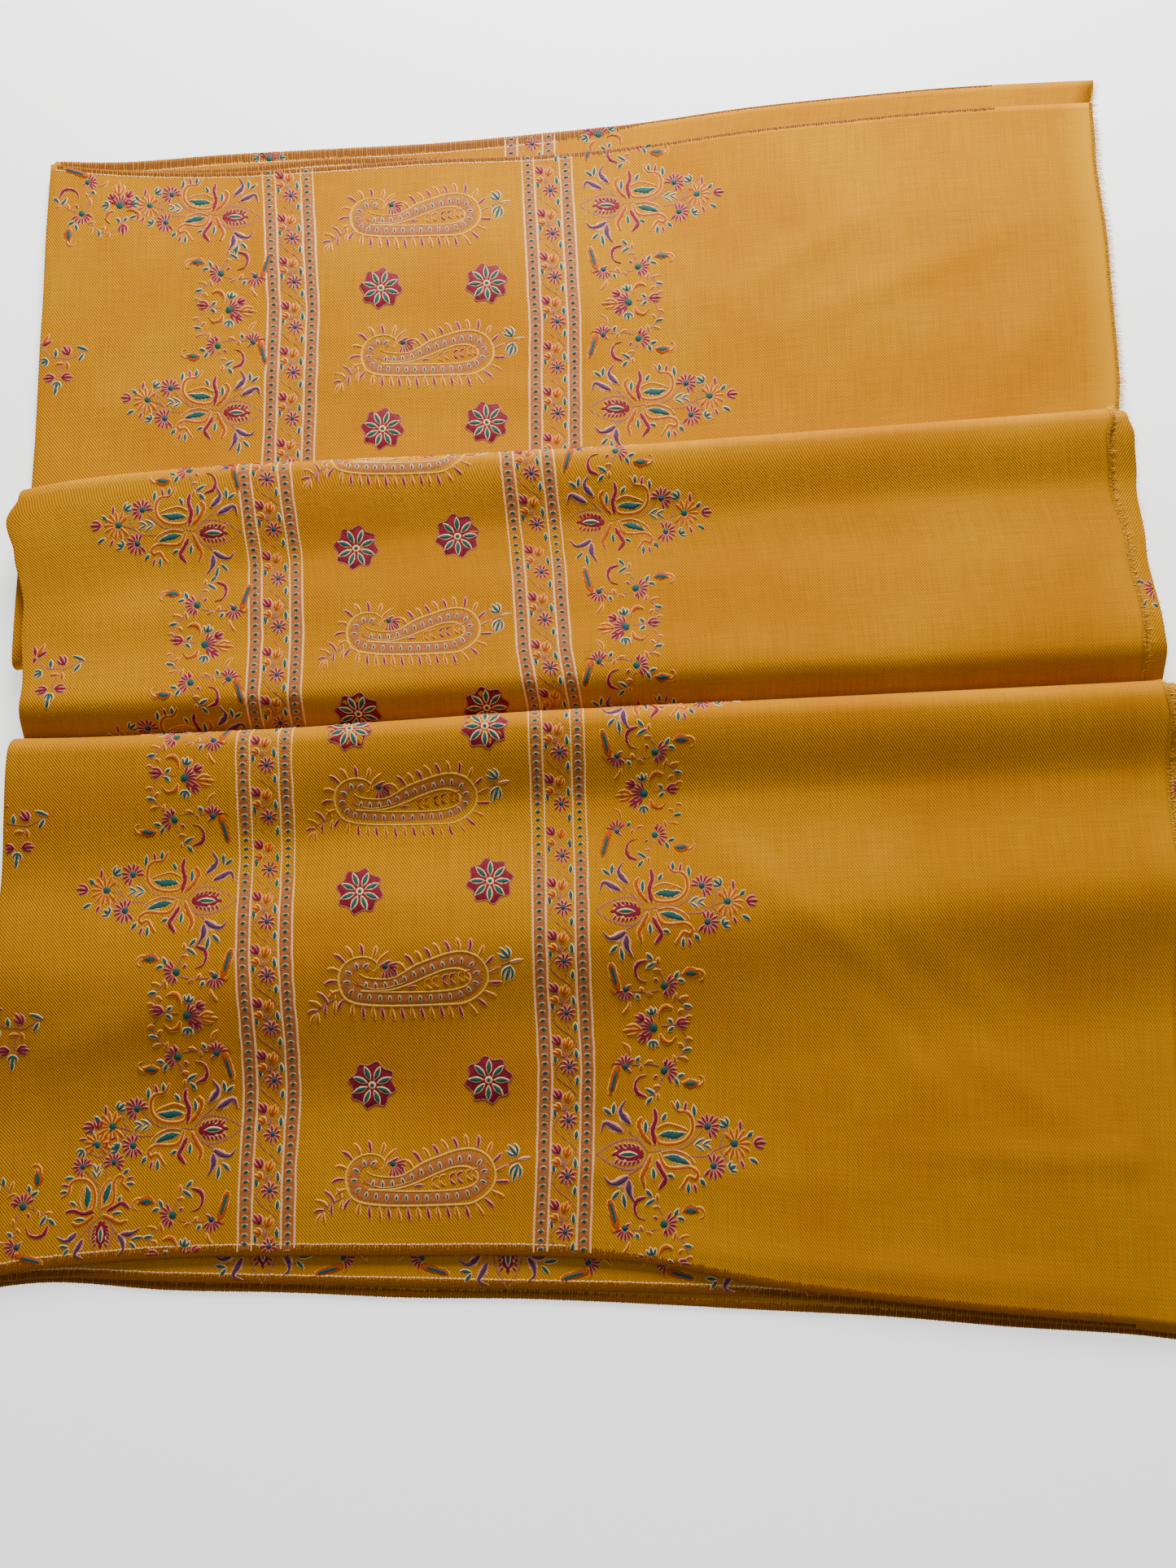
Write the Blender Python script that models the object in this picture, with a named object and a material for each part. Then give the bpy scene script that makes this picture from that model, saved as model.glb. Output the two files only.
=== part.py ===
"""Embroidered pashmina shawl, folded in quarters along its length and laid flat in three shingled tiers.

The shawl is 0.92 m wide and 2.04 m long. Folded in quarters it is a stack of four layers, 0.51 m from the
left folds to the right ends. Two pleats that run from left to right then shorten the stack, so that its width
shows as three tiers, each lying on the one behind it. X runs along the pleats, Y away from the near edge.
Lengths are in millimetres up to the points of the meshes, which are in metres.
"""

import math

import bmesh
import bpy
from mathutils import Matrix, Vector

MM = 0.001

# Cloth
WALL = 1.2
SEAM_GAP = 0.3
HIDDEN_STACK = 3.0
CORE_TOP = WALL + SEAM_GAP
STACK = CORE_TOP + HIDDEN_STACK
HIDDEN_FILL = 0.2

# Pleats
CREST_RADIUS = (7.0, 8.0)
TUCK_LEFT = (76.0, 118.0)
TUCK_RIGHT = (69.0, 99.0)
TURN_RADIUS = SEAM_GAP / 2
WALL_TUCK = 14.0
WALL_END_GAP = 1.2
ROLL_START = math.radians(-60)
ROLL_LEAD_SHARE = 0.92

# Rise and fall of the face in front of a crest: shares of the crest's radius or of the tuck's depth
RUN_IN_RADII = 3.2
RIDGE_CLEARANCE = 0.5
DIP_PLACE, DIP_WIDTH, DIP_DEPTH = 4.0, 1.76, 1.0
BUMP_PLACE, BUMP_WIDTH, BUMP_HEIGHT = 0.8, 0.3, 0.8
SLOPE_START, SLOPE_LENGTH = 4.0, 38.0
STATION_CROWDING = 1.25

# Fold on the left, where the face layer turns under, and the raw edges
LIP_RADIUS = 1.35
LIP_LEG = 0.55
CORE_INSET = 2.2
NOSE_LENGTH = 0.9
NOSE_TIP = 0.1
FOLD_RADIUS = HIDDEN_STACK / 3
SELVEDGE_OVERHANG = 1.5
REVERSE_END_SHOWS = 6.0

# Fringe: short locks of frayed warp on the raw ends
LOCK_PITCH = 4.0
LOCK_LENGTH = 5.6
LOCK_ROOT = 2.1
LOCK_TIP = 0.8
BACKING_WIDTH = 1.2
FRINGE_TOP = 0.2
FRINGE_BOTTOM = 1.0
LOCK_DROOP = 1.6
FRINGE_MARGIN = 2.0

# Outline from above, by x: the selvedges of the face layer, the two crests, and the layers that look out
OUTLINE_COLUMNS = ("x", "far", "crest_1", "crest_2", "near", "reverse_far", "middle_near", "reverse_near")
OUTLINE = (
    (-275, 377, 205, 95.0, -133, 380, -136.0, -138.0),
    (-225, 372, 214, 95.5, -126, 379, -130.5, -132.5),
    (-175, 371, 219, 97.5, -122, 383, -132.0, -135.5),
    (-125, 374, 222, 100.0, -121, 386, -133.0, -136.5),
    (-75, 378, 224, 103.5, -121, 389, -134.0, -138.5),
    (-25, 380, 227, 107.0, -121, 394, -135.0, -139.0),
    (25, 385, 230, 109.5, -124, 400, -136.0, -141.0),
    (75, 393, 234, 112.0, -133, 408, -138.0, -143.5),
    (125, 399, 238, 114.5, -139, 414, -142.0, -146.0),
    (175, 404, 242, 117.0, -144, 419, -147.0, -150.0),
    (225, 407, 246, 119.5, -148, 422, -150.5, -153.0),
    (275, 409, 250, 122.0, -153, 424, -156.0, -158.0),
)

# Ends of the layers: the left fold, the raw end of the face and the fold of the layers under it on the right
ENDS_COLUMNS = ("stretch", "along", "left", "raw", "right")
ENDS = (
    ("tier_1", 0.00, -256, 236, 234),
    ("tier_1", 0.15, -256, 240, 238),
    ("tier_1", 0.45, -255, 243, 241),
    ("tier_1", 0.80, -254, 244, 242),
    ("tier_1", 1.00, -254, 241, 240),
    ("crest_1", 0.00, -256, 233, 244),
    ("crest_1", 1.00, -257, 233, 246),
    ("tier_2", 0.00, -257, 233, 246),
    ("tier_2", 0.12, -261, 231, 249),
    ("tier_2", 0.28, -257, 233, 251),
    ("tier_2", 0.50, -252, 238, 255),
    ("tier_2", 0.80, -249, 244, 257),
    ("tier_2", 1.00, -250, 246, 256),
    ("crest_2", 0.00, -251, 247, 254),
    ("crest_2", 1.00, -251, 247, 255),
    ("tier_3", 0.00, -251, 247, 255),
    ("tier_3", 0.08, -251, 249, 257),
    ("tier_3", 0.45, -250, 250, 258),
    ("tier_3", 1.00, -247, 247, 255),
)

# Soft swells in the upper layers: centre, length along the swell, width across it, direction and height
SWELL_COLUMNS = ("x", "y", "length", "width", "turn_deg", "height")
SWELLS = (
    (-150, 320, 120, 26, 8, 0.9),
    (60, 300, 150, 24, -6, 1.0),
    (170, 345, 90, 30, 20, 1.0),
    (-120, 165, 110, 20, 4, 0.8),
    (150, 170, 130, 22, 3, 1.2),
    (-150, -40, 110, 24, 10, 1.3),
    (90, -30, 140, 26, -14, 1.6),
    (200, -90, 90, 24, -24, 1.5),
    (-60, -95, 100, 20, 6, 0.9),
)
SWELL_CLEARANCE = 24.0
SWELL_REACH = 238.0

# Stations along the path of the cloth, from the far selvedge to the near one
STATIONS_PER_STRETCH = (
    ("tier_1", 10),
    ("under_1", 3),
    ("turn_1", 5),
    ("back_1", 3),
    ("lead_1", 3),
    ("crest_1", 7),
    ("tier_2", 16),
    ("under_2", 3),
    ("turn_2", 5),
    ("back_2", 3),
    ("lead_2", 3),
    ("crest_2", 7),
    ("tier_3", 26),
)
ACROSS = 15

# Points of a section: steps from side to side, points round its left end, and points where a notch starts
FACE_END = (ACROSS, 8, 0)
CORE_END = (ACROSS + 1, 4, 1)

COLLECTION_NAME = "Pashmina shawl"
CLOTH_COLOURS = {
    "face": (0.60, 0.29, 0.012),
    "lower": (0.52, 0.24, 0.012),
    "fringe": (0.72, 0.45, 0.16),
}
CLOTH_ROUGHNESS = 0.85


def outline(x, column):
    """Value of one column of OUTLINE at x, on a smooth curve through its rows."""
    index = OUTLINE_COLUMNS.index(column)
    first, step = OUTLINE[0][0], OUTLINE[1][0] - OUTLINE[0][0]
    place = (x - first) / step
    row = min(max(int(place), 0), len(OUTLINE) - 2)
    t = place - row
    before, a, b, after = (OUTLINE[min(max(row + k, 0), len(OUTLINE) - 1)][index] for k in (-1, 0, 1, 2))
    bend = (2 * before - 5 * a + 4 * b - after, 3 * (a - b) + after - before)
    return a + 0.5 * t * ((b - before) + t * (bend[0] + t * bend[1]))


def smooth(t):
    """Soft step from 0 to 1."""
    t = min(max(t, 0.0), 1.0)
    return t * t * (3 - 2 * t)


def stations():
    """The path's stations as (stretch, share of the stretch). Where two stretches join there is one point."""
    found = []
    for stretch, count in STATIONS_PER_STRETCH:
        for k in range(count):
            if stretch.startswith("under"):
                share = k / count
            elif stretch.startswith("back"):
                share = (k + 0.5) / count
            elif stretch in ("tier_2", "tier_3"):
                share = (k + 1) / count
            else:
                share = k / (count - 1)
            found.append((stretch, share))
    return found


STATIONS = stations()


def ends(stretch, along, column):
    """Where a layer ends on the left or right at a station. Hidden stretches join their neighbours' ends."""
    rows = [dict(zip(ENDS_COLUMNS, row)) for row in ENDS]
    names = [name for name, _ in STATIONS_PER_STRETCH]
    here = names.index(stretch)
    listed = [row for row in rows if row["stretch"] == stretch]
    if not listed:
        before = max((r for r in rows if names.index(r["stretch"]) < here), key=lambda r: rows.index(r))
        after = min((r for r in rows if names.index(r["stretch"]) > here), key=lambda r: rows.index(r))
        return 0.5 * (before[column] + after[column])
    for a, b in zip(listed, listed[1:]):
        if along <= b["along"]:
            t = (along - a["along"]) / (b["along"] - a["along"])
            return a[column] + smooth(t) * (b[column] - a[column])
    return listed[-1][column]


def swell(x, y):
    """Height of the soft swells over a point, none close to a crest or an edge."""
    height = 0.0
    for row in SWELLS:
        s = dict(zip(SWELL_COLUMNS, row))
        turn = math.radians(s["turn_deg"])
        dx, dy = x - s["x"], y - s["y"]
        along = dx * math.cos(turn) + dy * math.sin(turn)
        across = dy * math.cos(turn) - dx * math.sin(turn)
        height += s["height"] * math.exp(-((along / s["length"]) ** 2) - (across / s["width"]) ** 2)
    edges = ("far", "crest_1", "crest_2", "near")
    clear = min(abs(y - outline(x, edge)) for edge in edges)
    clear_of_ends = (SWELL_REACH - abs(x)) / SWELL_CLEARANCE
    return height * smooth(clear / SWELL_CLEARANCE) * smooth(clear_of_ends)


def tuck_depth(x, pleat):
    """How far the pleat's inner fold lies in front of its crest."""
    share = (x - OUTLINE[0][0]) / (OUTLINE[-1][0] - OUTLINE[0][0])
    return TUCK_LEFT[pleat] + share * (TUCK_RIGHT[pleat] - TUCK_LEFT[pleat])


def in_front(x, y, pleat):
    """Where a point lies in front of a crest: distance past it, share of the roll and share of the pleat."""
    radius = CREST_RADIUS[pleat]
    past = outline(x, ("crest_1", "crest_2")[pleat]) - radius - y
    roll_share = 1 - smooth(past / (RUN_IN_RADII * radius))
    on_pleat = 1 - smooth((past + radius - tuck_depth(x, pleat) + SLOPE_START) / SLOPE_LENGTH)
    return past, roll_share, on_pleat


def tier_height(x, y, pleat):
    """Height of the face in front of a crest: down from the roll, along the pleat, then down to the floor."""
    crest_top = STACK + SEAM_GAP + 2 * CREST_RADIUS[pleat]
    ridge = 3 * STACK + 2 * SEAM_GAP + RIDGE_CLEARANCE
    past, roll_share, on_pleat = in_front(x, y, pleat)
    bump = BUMP_HEIGHT * math.exp(-(((past / tuck_depth(x, pleat) - BUMP_PLACE) / BUMP_WIDTH) ** 2))
    height = STACK + (ridge - STACK) * on_pleat
    return height + (crest_top - ridge) * roll_share + bump * on_pleat * (1 - roll_share)


def lift(x, y, tier):
    """How far the upper layers of a tier rise over the lowest one, or sink towards it in front of a crest."""
    if tier == 1:
        return swell(x, y)
    past, roll_share, on_pleat = in_front(x, y, tier - 2)
    place_in_radii = past / CREST_RADIUS[tier - 2]
    dip = DIP_DEPTH * math.exp(-(((place_in_radii - DIP_PLACE) / DIP_WIDTH) ** 2))
    return swell(x, y) - dip * on_pleat * (1 - roll_share)


def path_point(x, stretch, along):
    """Point (y, z) on the face's outer surface and the turn of its outward normal, None where it follows."""
    if stretch == "tier_1":
        start, end = outline(x, "far"), outline(x, "crest_1") - WALL_TUCK
        y = start + along * (end - start)
        return y, STACK + lift(x, y, 1), None
    kind, number = stretch.split("_")
    if kind == "tier":
        pleat = int(number) - 2
        start = outline(x, ("crest_1", "crest_2")[pleat]) - CREST_RADIUS[pleat]
        end = outline(x, "crest_2") - WALL_TUCK if pleat == 0 else outline(x, "near")
        y = start + along ** STATION_CROWDING * (end - start)
        return y, tier_height(x, y, pleat) + lift(x, y, int(number)), None
    pleat = int(number) - 1
    crest = outline(x, ("crest_1", "crest_2")[pleat])
    radius = CREST_RADIUS[pleat]
    fold = crest - tuck_depth(x, pleat)
    if kind == "under":
        start = crest - WALL_TUCK - WALL_END_GAP
        return start + along * (fold - start), STACK, math.radians(90)
    if kind == "turn":
        turn = math.radians(-90 - 180 * along)
        centre = STACK + TURN_RADIUS
        return fold + TURN_RADIUS * math.cos(turn), centre + TURN_RADIUS * math.sin(turn), turn + math.pi
    if kind == "back":
        end = crest - radius
        return fold + along * (end - fold), STACK + SEAM_GAP, math.radians(-90)
    centre = STACK + SEAM_GAP + radius
    first, last = (math.radians(-90), ROLL_START) if kind == "lead" else (ROLL_START, math.radians(90))
    share = ROLL_LEAD_SHARE * along if kind == "lead" else along
    turn = first + share * (last - first)
    return crest - radius + radius * math.cos(turn), centre + radius * math.sin(turn), turn


PATHS = {}


def face_path(x):
    """The whole path at x, as (y, z, normal y, normal z) for each station."""
    key = round(x, 3)
    if key not in PATHS:
        points = [path_point(x, stretch, along) for stretch, along in STATIONS]
        path = []
        for k, (y, z, turn) in enumerate(points):
            if turn is None:
                stretch = STATIONS[k][0]
                a = points[k - 1] if k and STATIONS[k - 1][0] == stretch else points[k]
                b = points[k + 1] if k + 1 < len(points) and STATIONS[k + 1][0] == stretch else points[k]
                turn = math.atan2(b[1] - a[1], b[0] - a[0]) - math.radians(90)
            path.append((y, z, math.cos(turn), math.sin(turn)))
        PATHS[key] = path
    return PATHS[key]


def place(x, offset, k, on_floor=False):
    """Mesh point at x, a distance along the normal from the face's outer surface at station k."""
    y, z, normal_y, normal_z = face_path(x)[k]
    if on_floor and STATIONS[k][0].startswith("tier"):
        z -= lift(x, y, int(STATIONS[k][0][-1]))
    return Vector((x, y + offset * normal_y, max(z + offset * normal_z, 0.0))) * MM


def material(name, colour):
    """Woven wool cloth as a plain Principled material."""
    made = bpy.data.materials.new(name)
    made.use_nodes = True
    shader = made.node_tree.nodes["Principled BSDF"]
    shader.inputs["Base Color"].default_value = (*colour, 1.0)
    shader.inputs["Roughness"].default_value = CLOTH_ROUGHNESS
    shader.inputs["Metallic"].default_value = 0.0
    return made


def add_object(name, mesh_builder, colour):
    """Named object with its own material from a bmesh whose faces are set to point outward."""
    bmesh.ops.recalc_face_normals(mesh_builder, faces=mesh_builder.faces)
    mesh = bpy.data.meshes.new(name)
    mesh_builder.to_mesh(mesh)
    mesh_builder.free()
    mesh.materials.append(material(name, colour))
    mesh.shade_smooth()
    made = bpy.data.objects.new(name, mesh)
    bpy.data.collections[COLLECTION_NAME].objects.link(made)
    return made


def close_end(builder, row, steps, left_points, notch):
    """Cap on a ring that goes left in some steps, round the left end, back in as many and round the right.
    Its patches join the points above each other, so that the cap follows the edge's curve. The outermost
    patches take in the points where a notch starts."""
    back = steps + left_points
    for k in range(steps - 1):
        below = back + steps - 1 - k
        upper = row[k:k + 2 + (notch if k == steps - 2 else 0)]
        lower = row[below - 1:below + 1 + (notch if k == 0 else 0)]
        builder.faces.new(upper + lower)
    builder.faces.new(row[steps - 1 + notch:back + 1])
    if len(row) > back + steps:
        builder.faces.new(row[back + steps - 1 + notch:] + row[:1])


def loft(name, rings, colour, end_steps=None):
    """Closed solid through rings of equally many points. Every four-sided patch is split from its left corner
    on one ring to its right corner on the next, so that walls that lie on each other have the same facets."""
    builder = bmesh.new()
    rows = [[builder.verts.new(point) for point in ring] for ring in rings]
    for row, following in zip(rows, rows[1:]):
        for k in range(len(row)):
            a, b = row[k], row[(k + 1) % len(row)]
            c, d = following[(k + 1) % len(row)], following[k]
            halves = ((a, b, c), (a, c, d)) if a.co.x <= b.co.x else ((a, b, d), (b, c, d))
            for half in halves:
                builder.faces.new(half)
    for row in (rows[0], rows[-1]):
        if end_steps:
            close_end(builder, row, *end_steps)
        else:
            builder.faces.new(row)
    return add_object(name, builder, colour)


def across(k):
    """Even steps over the face at station k, from its fold on the left to its raw end."""
    left, right = ends(*STATIONS[k], "left") + LIP_RADIUS, ends(*STATIONS[k], "raw")
    return [left + (right - left) * step / (ACROSS - 1) for step in range(ACROSS)]


def core_across(k, right):
    """The face's own steps, for the same facets, between the hidden layers' ends at station k."""
    steps = across(k)
    left = ends(*STATIONS[k], "left") + CORE_INSET
    return [left] + steps[1:-1] + [min(steps[-1], right - FOLD_RADIUS), right]


def face_ring(k):
    """Section of the face wall at station k, across the shawl: skin, fold on the left and inner side."""
    stretch, along = STATIONS[k]
    left = ends(stretch, along, "left")
    ring = [(x, 0.0) for x in reversed(across(k))]
    for degrees in (135, 180, 225, 270):
        turn = math.radians(degrees)
        ring.append((left + LIP_RADIUS * (1 + math.cos(turn)), LIP_RADIUS * (math.sin(turn) - 1)))
    leg_end = left + LIP_RADIUS + LIP_LEG
    inner = LIP_RADIUS - WALL
    ring.append((leg_end, -2 * LIP_RADIUS))
    ring.append((leg_end, -2 * LIP_RADIUS + WALL))
    ring.append((left + LIP_RADIUS, -2 * LIP_RADIUS + WALL))
    ring.append((left + LIP_RADIUS - inner, -LIP_RADIUS))
    ring += [(x, -WALL) for x in across(k)]
    return [place(x, offset, k) for x, offset in ring]


def face_stretch(name, first, last):
    """Face wall from the first station of one stretch to the last station of another."""
    names = [stretch for stretch, _ in STATIONS]
    start = names.index(first)
    end = len(names) - 1 - names[::-1].index(last)
    return loft(name, [face_ring(k) for k in range(start, end + 1)], CLOTH_COLOURS["face"], FACE_END)


def core_top(stretch, along):
    """Depth of the hidden layers under the face's outer surface: close up to it where no wall covers them."""
    if stretch.startswith(("tier", "crest")):
        return CORE_TOP
    if stretch.startswith("under"):
        return CORE_TOP if along == 0 else HIDDEN_FILL
    if stretch.startswith("lead"):
        return HIDDEN_FILL if along < 0.9 else CORE_TOP
    return HIDDEN_FILL


def core_ring(k):
    """Section of the hidden layers at station k: the upper fold inset on the left, the lower fold's nose
    under it, the fold of the middle layers on the right and the end of the lowest layer a little inside it."""
    stretch, along = STATIONS[k]
    left, right = ends(stretch, along, "left"), ends(stretch, along, "right")
    top = core_top(stretch, along)
    nose_top = -2 * LIP_RADIUS - SEAM_GAP
    nose_middle = 0.5 * (nose_top - STACK)
    fold_bottom = -CORE_TOP - 2 * FOLD_RADIUS
    ring = [(x, -top) for x in reversed(core_across(k, right - FOLD_RADIUS))]
    ring.append((left + CORE_INSET, nose_top))
    ring.append((left + NOSE_LENGTH, nose_top))
    ring.append((left + NOSE_TIP, nose_middle))
    ring.append((left + NOSE_LENGTH, -STACK))
    ring += [(x, -STACK) for x in core_across(k, right - 3 * FOLD_RADIUS)]
    ring.append((right - 3 * FOLD_RADIUS, fold_bottom))
    ring.append((right - FOLD_RADIUS, fold_bottom))
    ring.append((right, -CORE_TOP - FOLD_RADIUS))
    return [place(x, offset, k, on_floor=offset == -STACK) for x, offset in ring]


def core_end_ring(k, inward):
    """Section of the hidden layers at a selvedge, moved a little inside the face's edge."""
    return [point + Vector((0, inward * MM, 0)) for point in core_ring(k)]


def folded_layers():
    """The three hidden layers, pressed together and pleated with the face."""
    rings = [core_ring(k) for k in range(len(STATIONS))]
    rings[0] = core_end_ring(0, -SELVEDGE_OVERHANG)
    rings[-1] = core_end_ring(len(STATIONS) - 1, SELVEDGE_OVERHANG)
    return loft("folded_layers", rings, CLOTH_COLOURS["lower"], CORE_END)


def strip(name, edge, outer, level, beyond=0.0):
    """Wall of a lower layer that looks out past the face's selvedge, from under it to its own selvedge."""
    outward, k = (1, 0) if edge == "far" else (-1, len(STATIONS) - 1)
    steps = core_across(k, ends(*STATIONS[k], "right") - FOLD_RADIUS)
    steps[-1] += beyond
    rings = []
    for x in steps:
        inner = outline(x, edge) - outward * (SELVEDGE_OVERHANG - SEAM_GAP)
        reach = outline(x, outer)
        section = ((inner, 0.0), (reach, 0.0), (reach, WALL), (inner, WALL))
        rings.append([Vector((x, y, level + z)) * MM for y, z in section])
    return loft(name, rings, CLOTH_COLOURS["lower"])


def lock_slant(number):
    """Sideways lean of a lock's tip, different from lock to lock."""
    return LOCK_ROOT * (0.35 * math.sin(2.4 * number) + 0.15 * math.sin(7.1 * number))


def raw_edge(stretches, reach):
    """Rows (x, y, z, normal y, normal z) of the face's outer surface a reach to the right of its raw end."""
    rows = []
    for k, (stretch, along) in enumerate(STATIONS):
        if stretch in stretches:
            x = ends(stretch, along, "raw") + reach
            rows.append((x, *face_path(x)[k]))
    return rows


def edge_lengths(rows):
    """Distance along the edge at each of its rows."""
    lengths = [0.0]
    for a, b in zip(rows, rows[1:]):
        lengths.append(lengths[-1] + math.dist(a[:3], b[:3]))
    return lengths


def read_edge(rows, lengths, distance, depth):
    """Point under the outer surface by a depth, at a distance along an edge."""
    k = 0
    while k < len(rows) - 2 and distance > lengths[k + 1]:
        k += 1
    t = (distance - lengths[k]) / (lengths[k + 1] - lengths[k])
    x, y, z, normal_y, normal_z = (a + t * (b - a) for a, b in zip(rows[k], rows[k + 1]))
    return Vector((x, y - depth * normal_y, z - depth * normal_z)) * MM


def fringe(name, stretches, droop):
    """Locks of frayed warp on a narrow backing, which stands just off the raw end of the face."""
    inner, outer = raw_edge(stretches, SEAM_GAP), raw_edge(stretches, SEAM_GAP + BACKING_WIDTH)
    tips = raw_edge(stretches, SEAM_GAP + BACKING_WIDTH + LOCK_LENGTH)
    lengths = edge_lengths(inner)
    locks = int((lengths[-1] - 2 * FRINGE_MARGIN) / LOCK_PITCH)
    corners = ((inner, FRINGE_TOP), (outer, FRINGE_TOP), (outer, FRINGE_BOTTOM), (inner, FRINGE_BOTTOM))
    builder = bmesh.new()
    sections = []
    for cell in range(2 * locks):
        number, is_end = divmod(cell, 2)
        distance = FRINGE_MARGIN + number * LOCK_PITCH + is_end * LOCK_ROOT
        section = [read_edge(edge, lengths, distance, depth) for edge, depth in corners]
        sections.append([builder.verts.new(point) for point in section])
    for cell, (a, b) in enumerate(zip(sections, sections[1:])):
        root_here = cell % 2 == 0
        for k in range(4):
            if not (root_here and k == 1):
                builder.faces.new((a[k], b[k], b[(k + 1) % 4], a[(k + 1) % 4]))
    builder.faces.new(sections[0])
    builder.faces.new(list(reversed(sections[-1])))
    for number in range(locks):
        a, b = sections[2 * number], sections[2 * number + 1]
        root = [a[1], b[1], b[2], a[2]]
        centre = FRINGE_MARGIN + number * LOCK_PITCH + 0.5 * LOCK_ROOT + lock_slant(number)
        tip = []
        for side, depth in ((-1, FRINGE_TOP), (1, FRINGE_TOP), (1, FRINGE_BOTTOM), (-1, FRINGE_BOTTOM)):
            point = read_edge(tips, lengths, centre + 0.5 * side * LOCK_TIP, depth)
            tip.append(builder.verts.new(point - Vector((0, 0, droop * MM))))
        for k in range(4):
            builder.faces.new((root[k], root[(k + 1) % 4], tip[(k + 1) % 4], tip[k]))
        builder.faces.new(tip)
    return add_object(name, builder, CLOTH_COLOURS["fringe"])


def centre_over_origin(objects):
    """Moves the whole shawl so that the middle of its box, seen from above, is on the origin."""
    corners = [vertex.co for made in objects for vertex in made.data.vertices]
    low = [min(corner[axis] for corner in corners) for axis in range(3)]
    high = [max(corner[axis] for corner in corners) for axis in range(3)]
    shift = Vector((-(low[0] + high[0]) / 2, -(low[1] + high[1]) / 2, -low[2]))
    for made in objects:
        made.data.transform(Matrix.Translation(shift))


def build():
    for old in list(bpy.data.objects):
        bpy.data.objects.remove(old)
    collection = bpy.data.collections.new(COLLECTION_NAME)
    bpy.context.scene.collection.children.link(collection)
    made = [
        face_stretch("face_far", "tier_1", "tier_1"),
        face_stretch("face_middle", "crest_1", "tier_2"),
        face_stretch("face_near", "crest_2", "tier_3"),
        folded_layers(),
        strip("reverse_far", "far", "reverse_far", 0.0, REVERSE_END_SHOWS),
        strip("middle_near", "near", "middle_near", WALL + SEAM_GAP),
        strip("reverse_near", "near", "reverse_near", 0.0),
        fringe("fringe_far", ("tier_1",), LOCK_DROOP),
        fringe("fringe_middle", ("crest_1", "tier_2"), 0.0),
        fringe("fringe_near", ("crest_2", "tier_3"), 0.0),
    ]
    centre_over_origin(made)


build()
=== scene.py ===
"""Embroidered pashmina shawl, folded in quarters and laid in three tiers, with its needlework and edges.

The cloth follows the same path as the solids: over each tier, into the tuck, back and round the crest.
Lengths are in millimetres, in the frame in which the path is measured, up to the points of the meshes.
"""

import math

import bpy
import numpy as np
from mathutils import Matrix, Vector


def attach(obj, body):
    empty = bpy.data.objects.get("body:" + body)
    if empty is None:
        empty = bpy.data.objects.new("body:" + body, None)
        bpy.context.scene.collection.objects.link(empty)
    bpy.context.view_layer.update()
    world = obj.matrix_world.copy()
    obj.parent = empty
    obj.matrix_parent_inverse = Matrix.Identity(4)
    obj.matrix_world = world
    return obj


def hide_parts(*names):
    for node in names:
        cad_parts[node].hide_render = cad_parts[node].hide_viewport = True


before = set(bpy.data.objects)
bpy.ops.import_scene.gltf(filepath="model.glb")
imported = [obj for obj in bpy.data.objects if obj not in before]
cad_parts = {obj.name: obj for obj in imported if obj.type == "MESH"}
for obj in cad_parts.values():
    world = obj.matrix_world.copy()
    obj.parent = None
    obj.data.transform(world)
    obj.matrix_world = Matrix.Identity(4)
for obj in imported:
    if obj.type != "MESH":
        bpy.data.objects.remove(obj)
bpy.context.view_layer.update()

bl_info = {
    "name": "Folded pashmina shawl",
    "version": (1, 0, 0),
    "blender": (4, 5, 0),
    "location": "View3D > Sidebar > Shawl",
    "description": "Cloth, needlework, edging and fringe of a folded pashmina shawl",
    "category": "Object",
}

MM = 0.001
# Shift from the frame in which the path is measured to the scene's, with its origin in the middle of the box
SHIFT = (1.4962, -133.2691)

# Stack of four layers, the pleats' crests and tucks, as the solids have them
STACK = 4.5
SEAM_GAP = 0.3
CREST_RADIUS = (7.0, 8.0)
TUCK_LEFT = (76.0, 106.0)
TUCK_RIGHT = (69.0, 88.0)
TURN_RADIUS = 0.15
WALL_TUCK = 14.0
WALL_END_GAP = 1.0
RIDGE_CLEARANCE = 0.5
RIDGE = 3 * STACK + 2 * SEAM_GAP + RIDGE_CLEARANCE
PATH_CROWDING = 1.25

# Soft relief over the solids. What the left folds have of their own fades out from an x, over a length
LEFT_START, LEFT_LENGTH = -240, 200
# How far a crest stands up, by pleat, and the share of it that is lost at the left folds
CREST_PUFF = (1.2, 1.8)
PUFF_LOST_LEFT = 0.8
# Roll down from a crest, in its radii: its length, and what the left folds add to it
RUN_IN_RADII = (4.25, 3.7)
# Dip in front of a crest: place and width in its radii, depth, and the share of it at the left folds
DIP = (5.5, 2.4, 1.7)
DIP_LEFT_SHARE = 0.4
DIP_START, DIP_LENGTH = -250, 120
# Bulge over each tuck: place and width in the tuck's depths, height, and share that the left folds add
BUMPS = ((1.4, 0.34, 4.2, 0.4), (0.9, 0.27, 2.7, -0.45))
# Slope down from the near tier's tuck: its start and length, first in the middle and then at the left folds
SLOPE = ((6.0, 69.0), (8.0, 72.0))
# Slope of the middle tier down to the valley behind the next crest: its start past that crest, and its length
VALLEY = (-10.0, 25.5)

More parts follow.
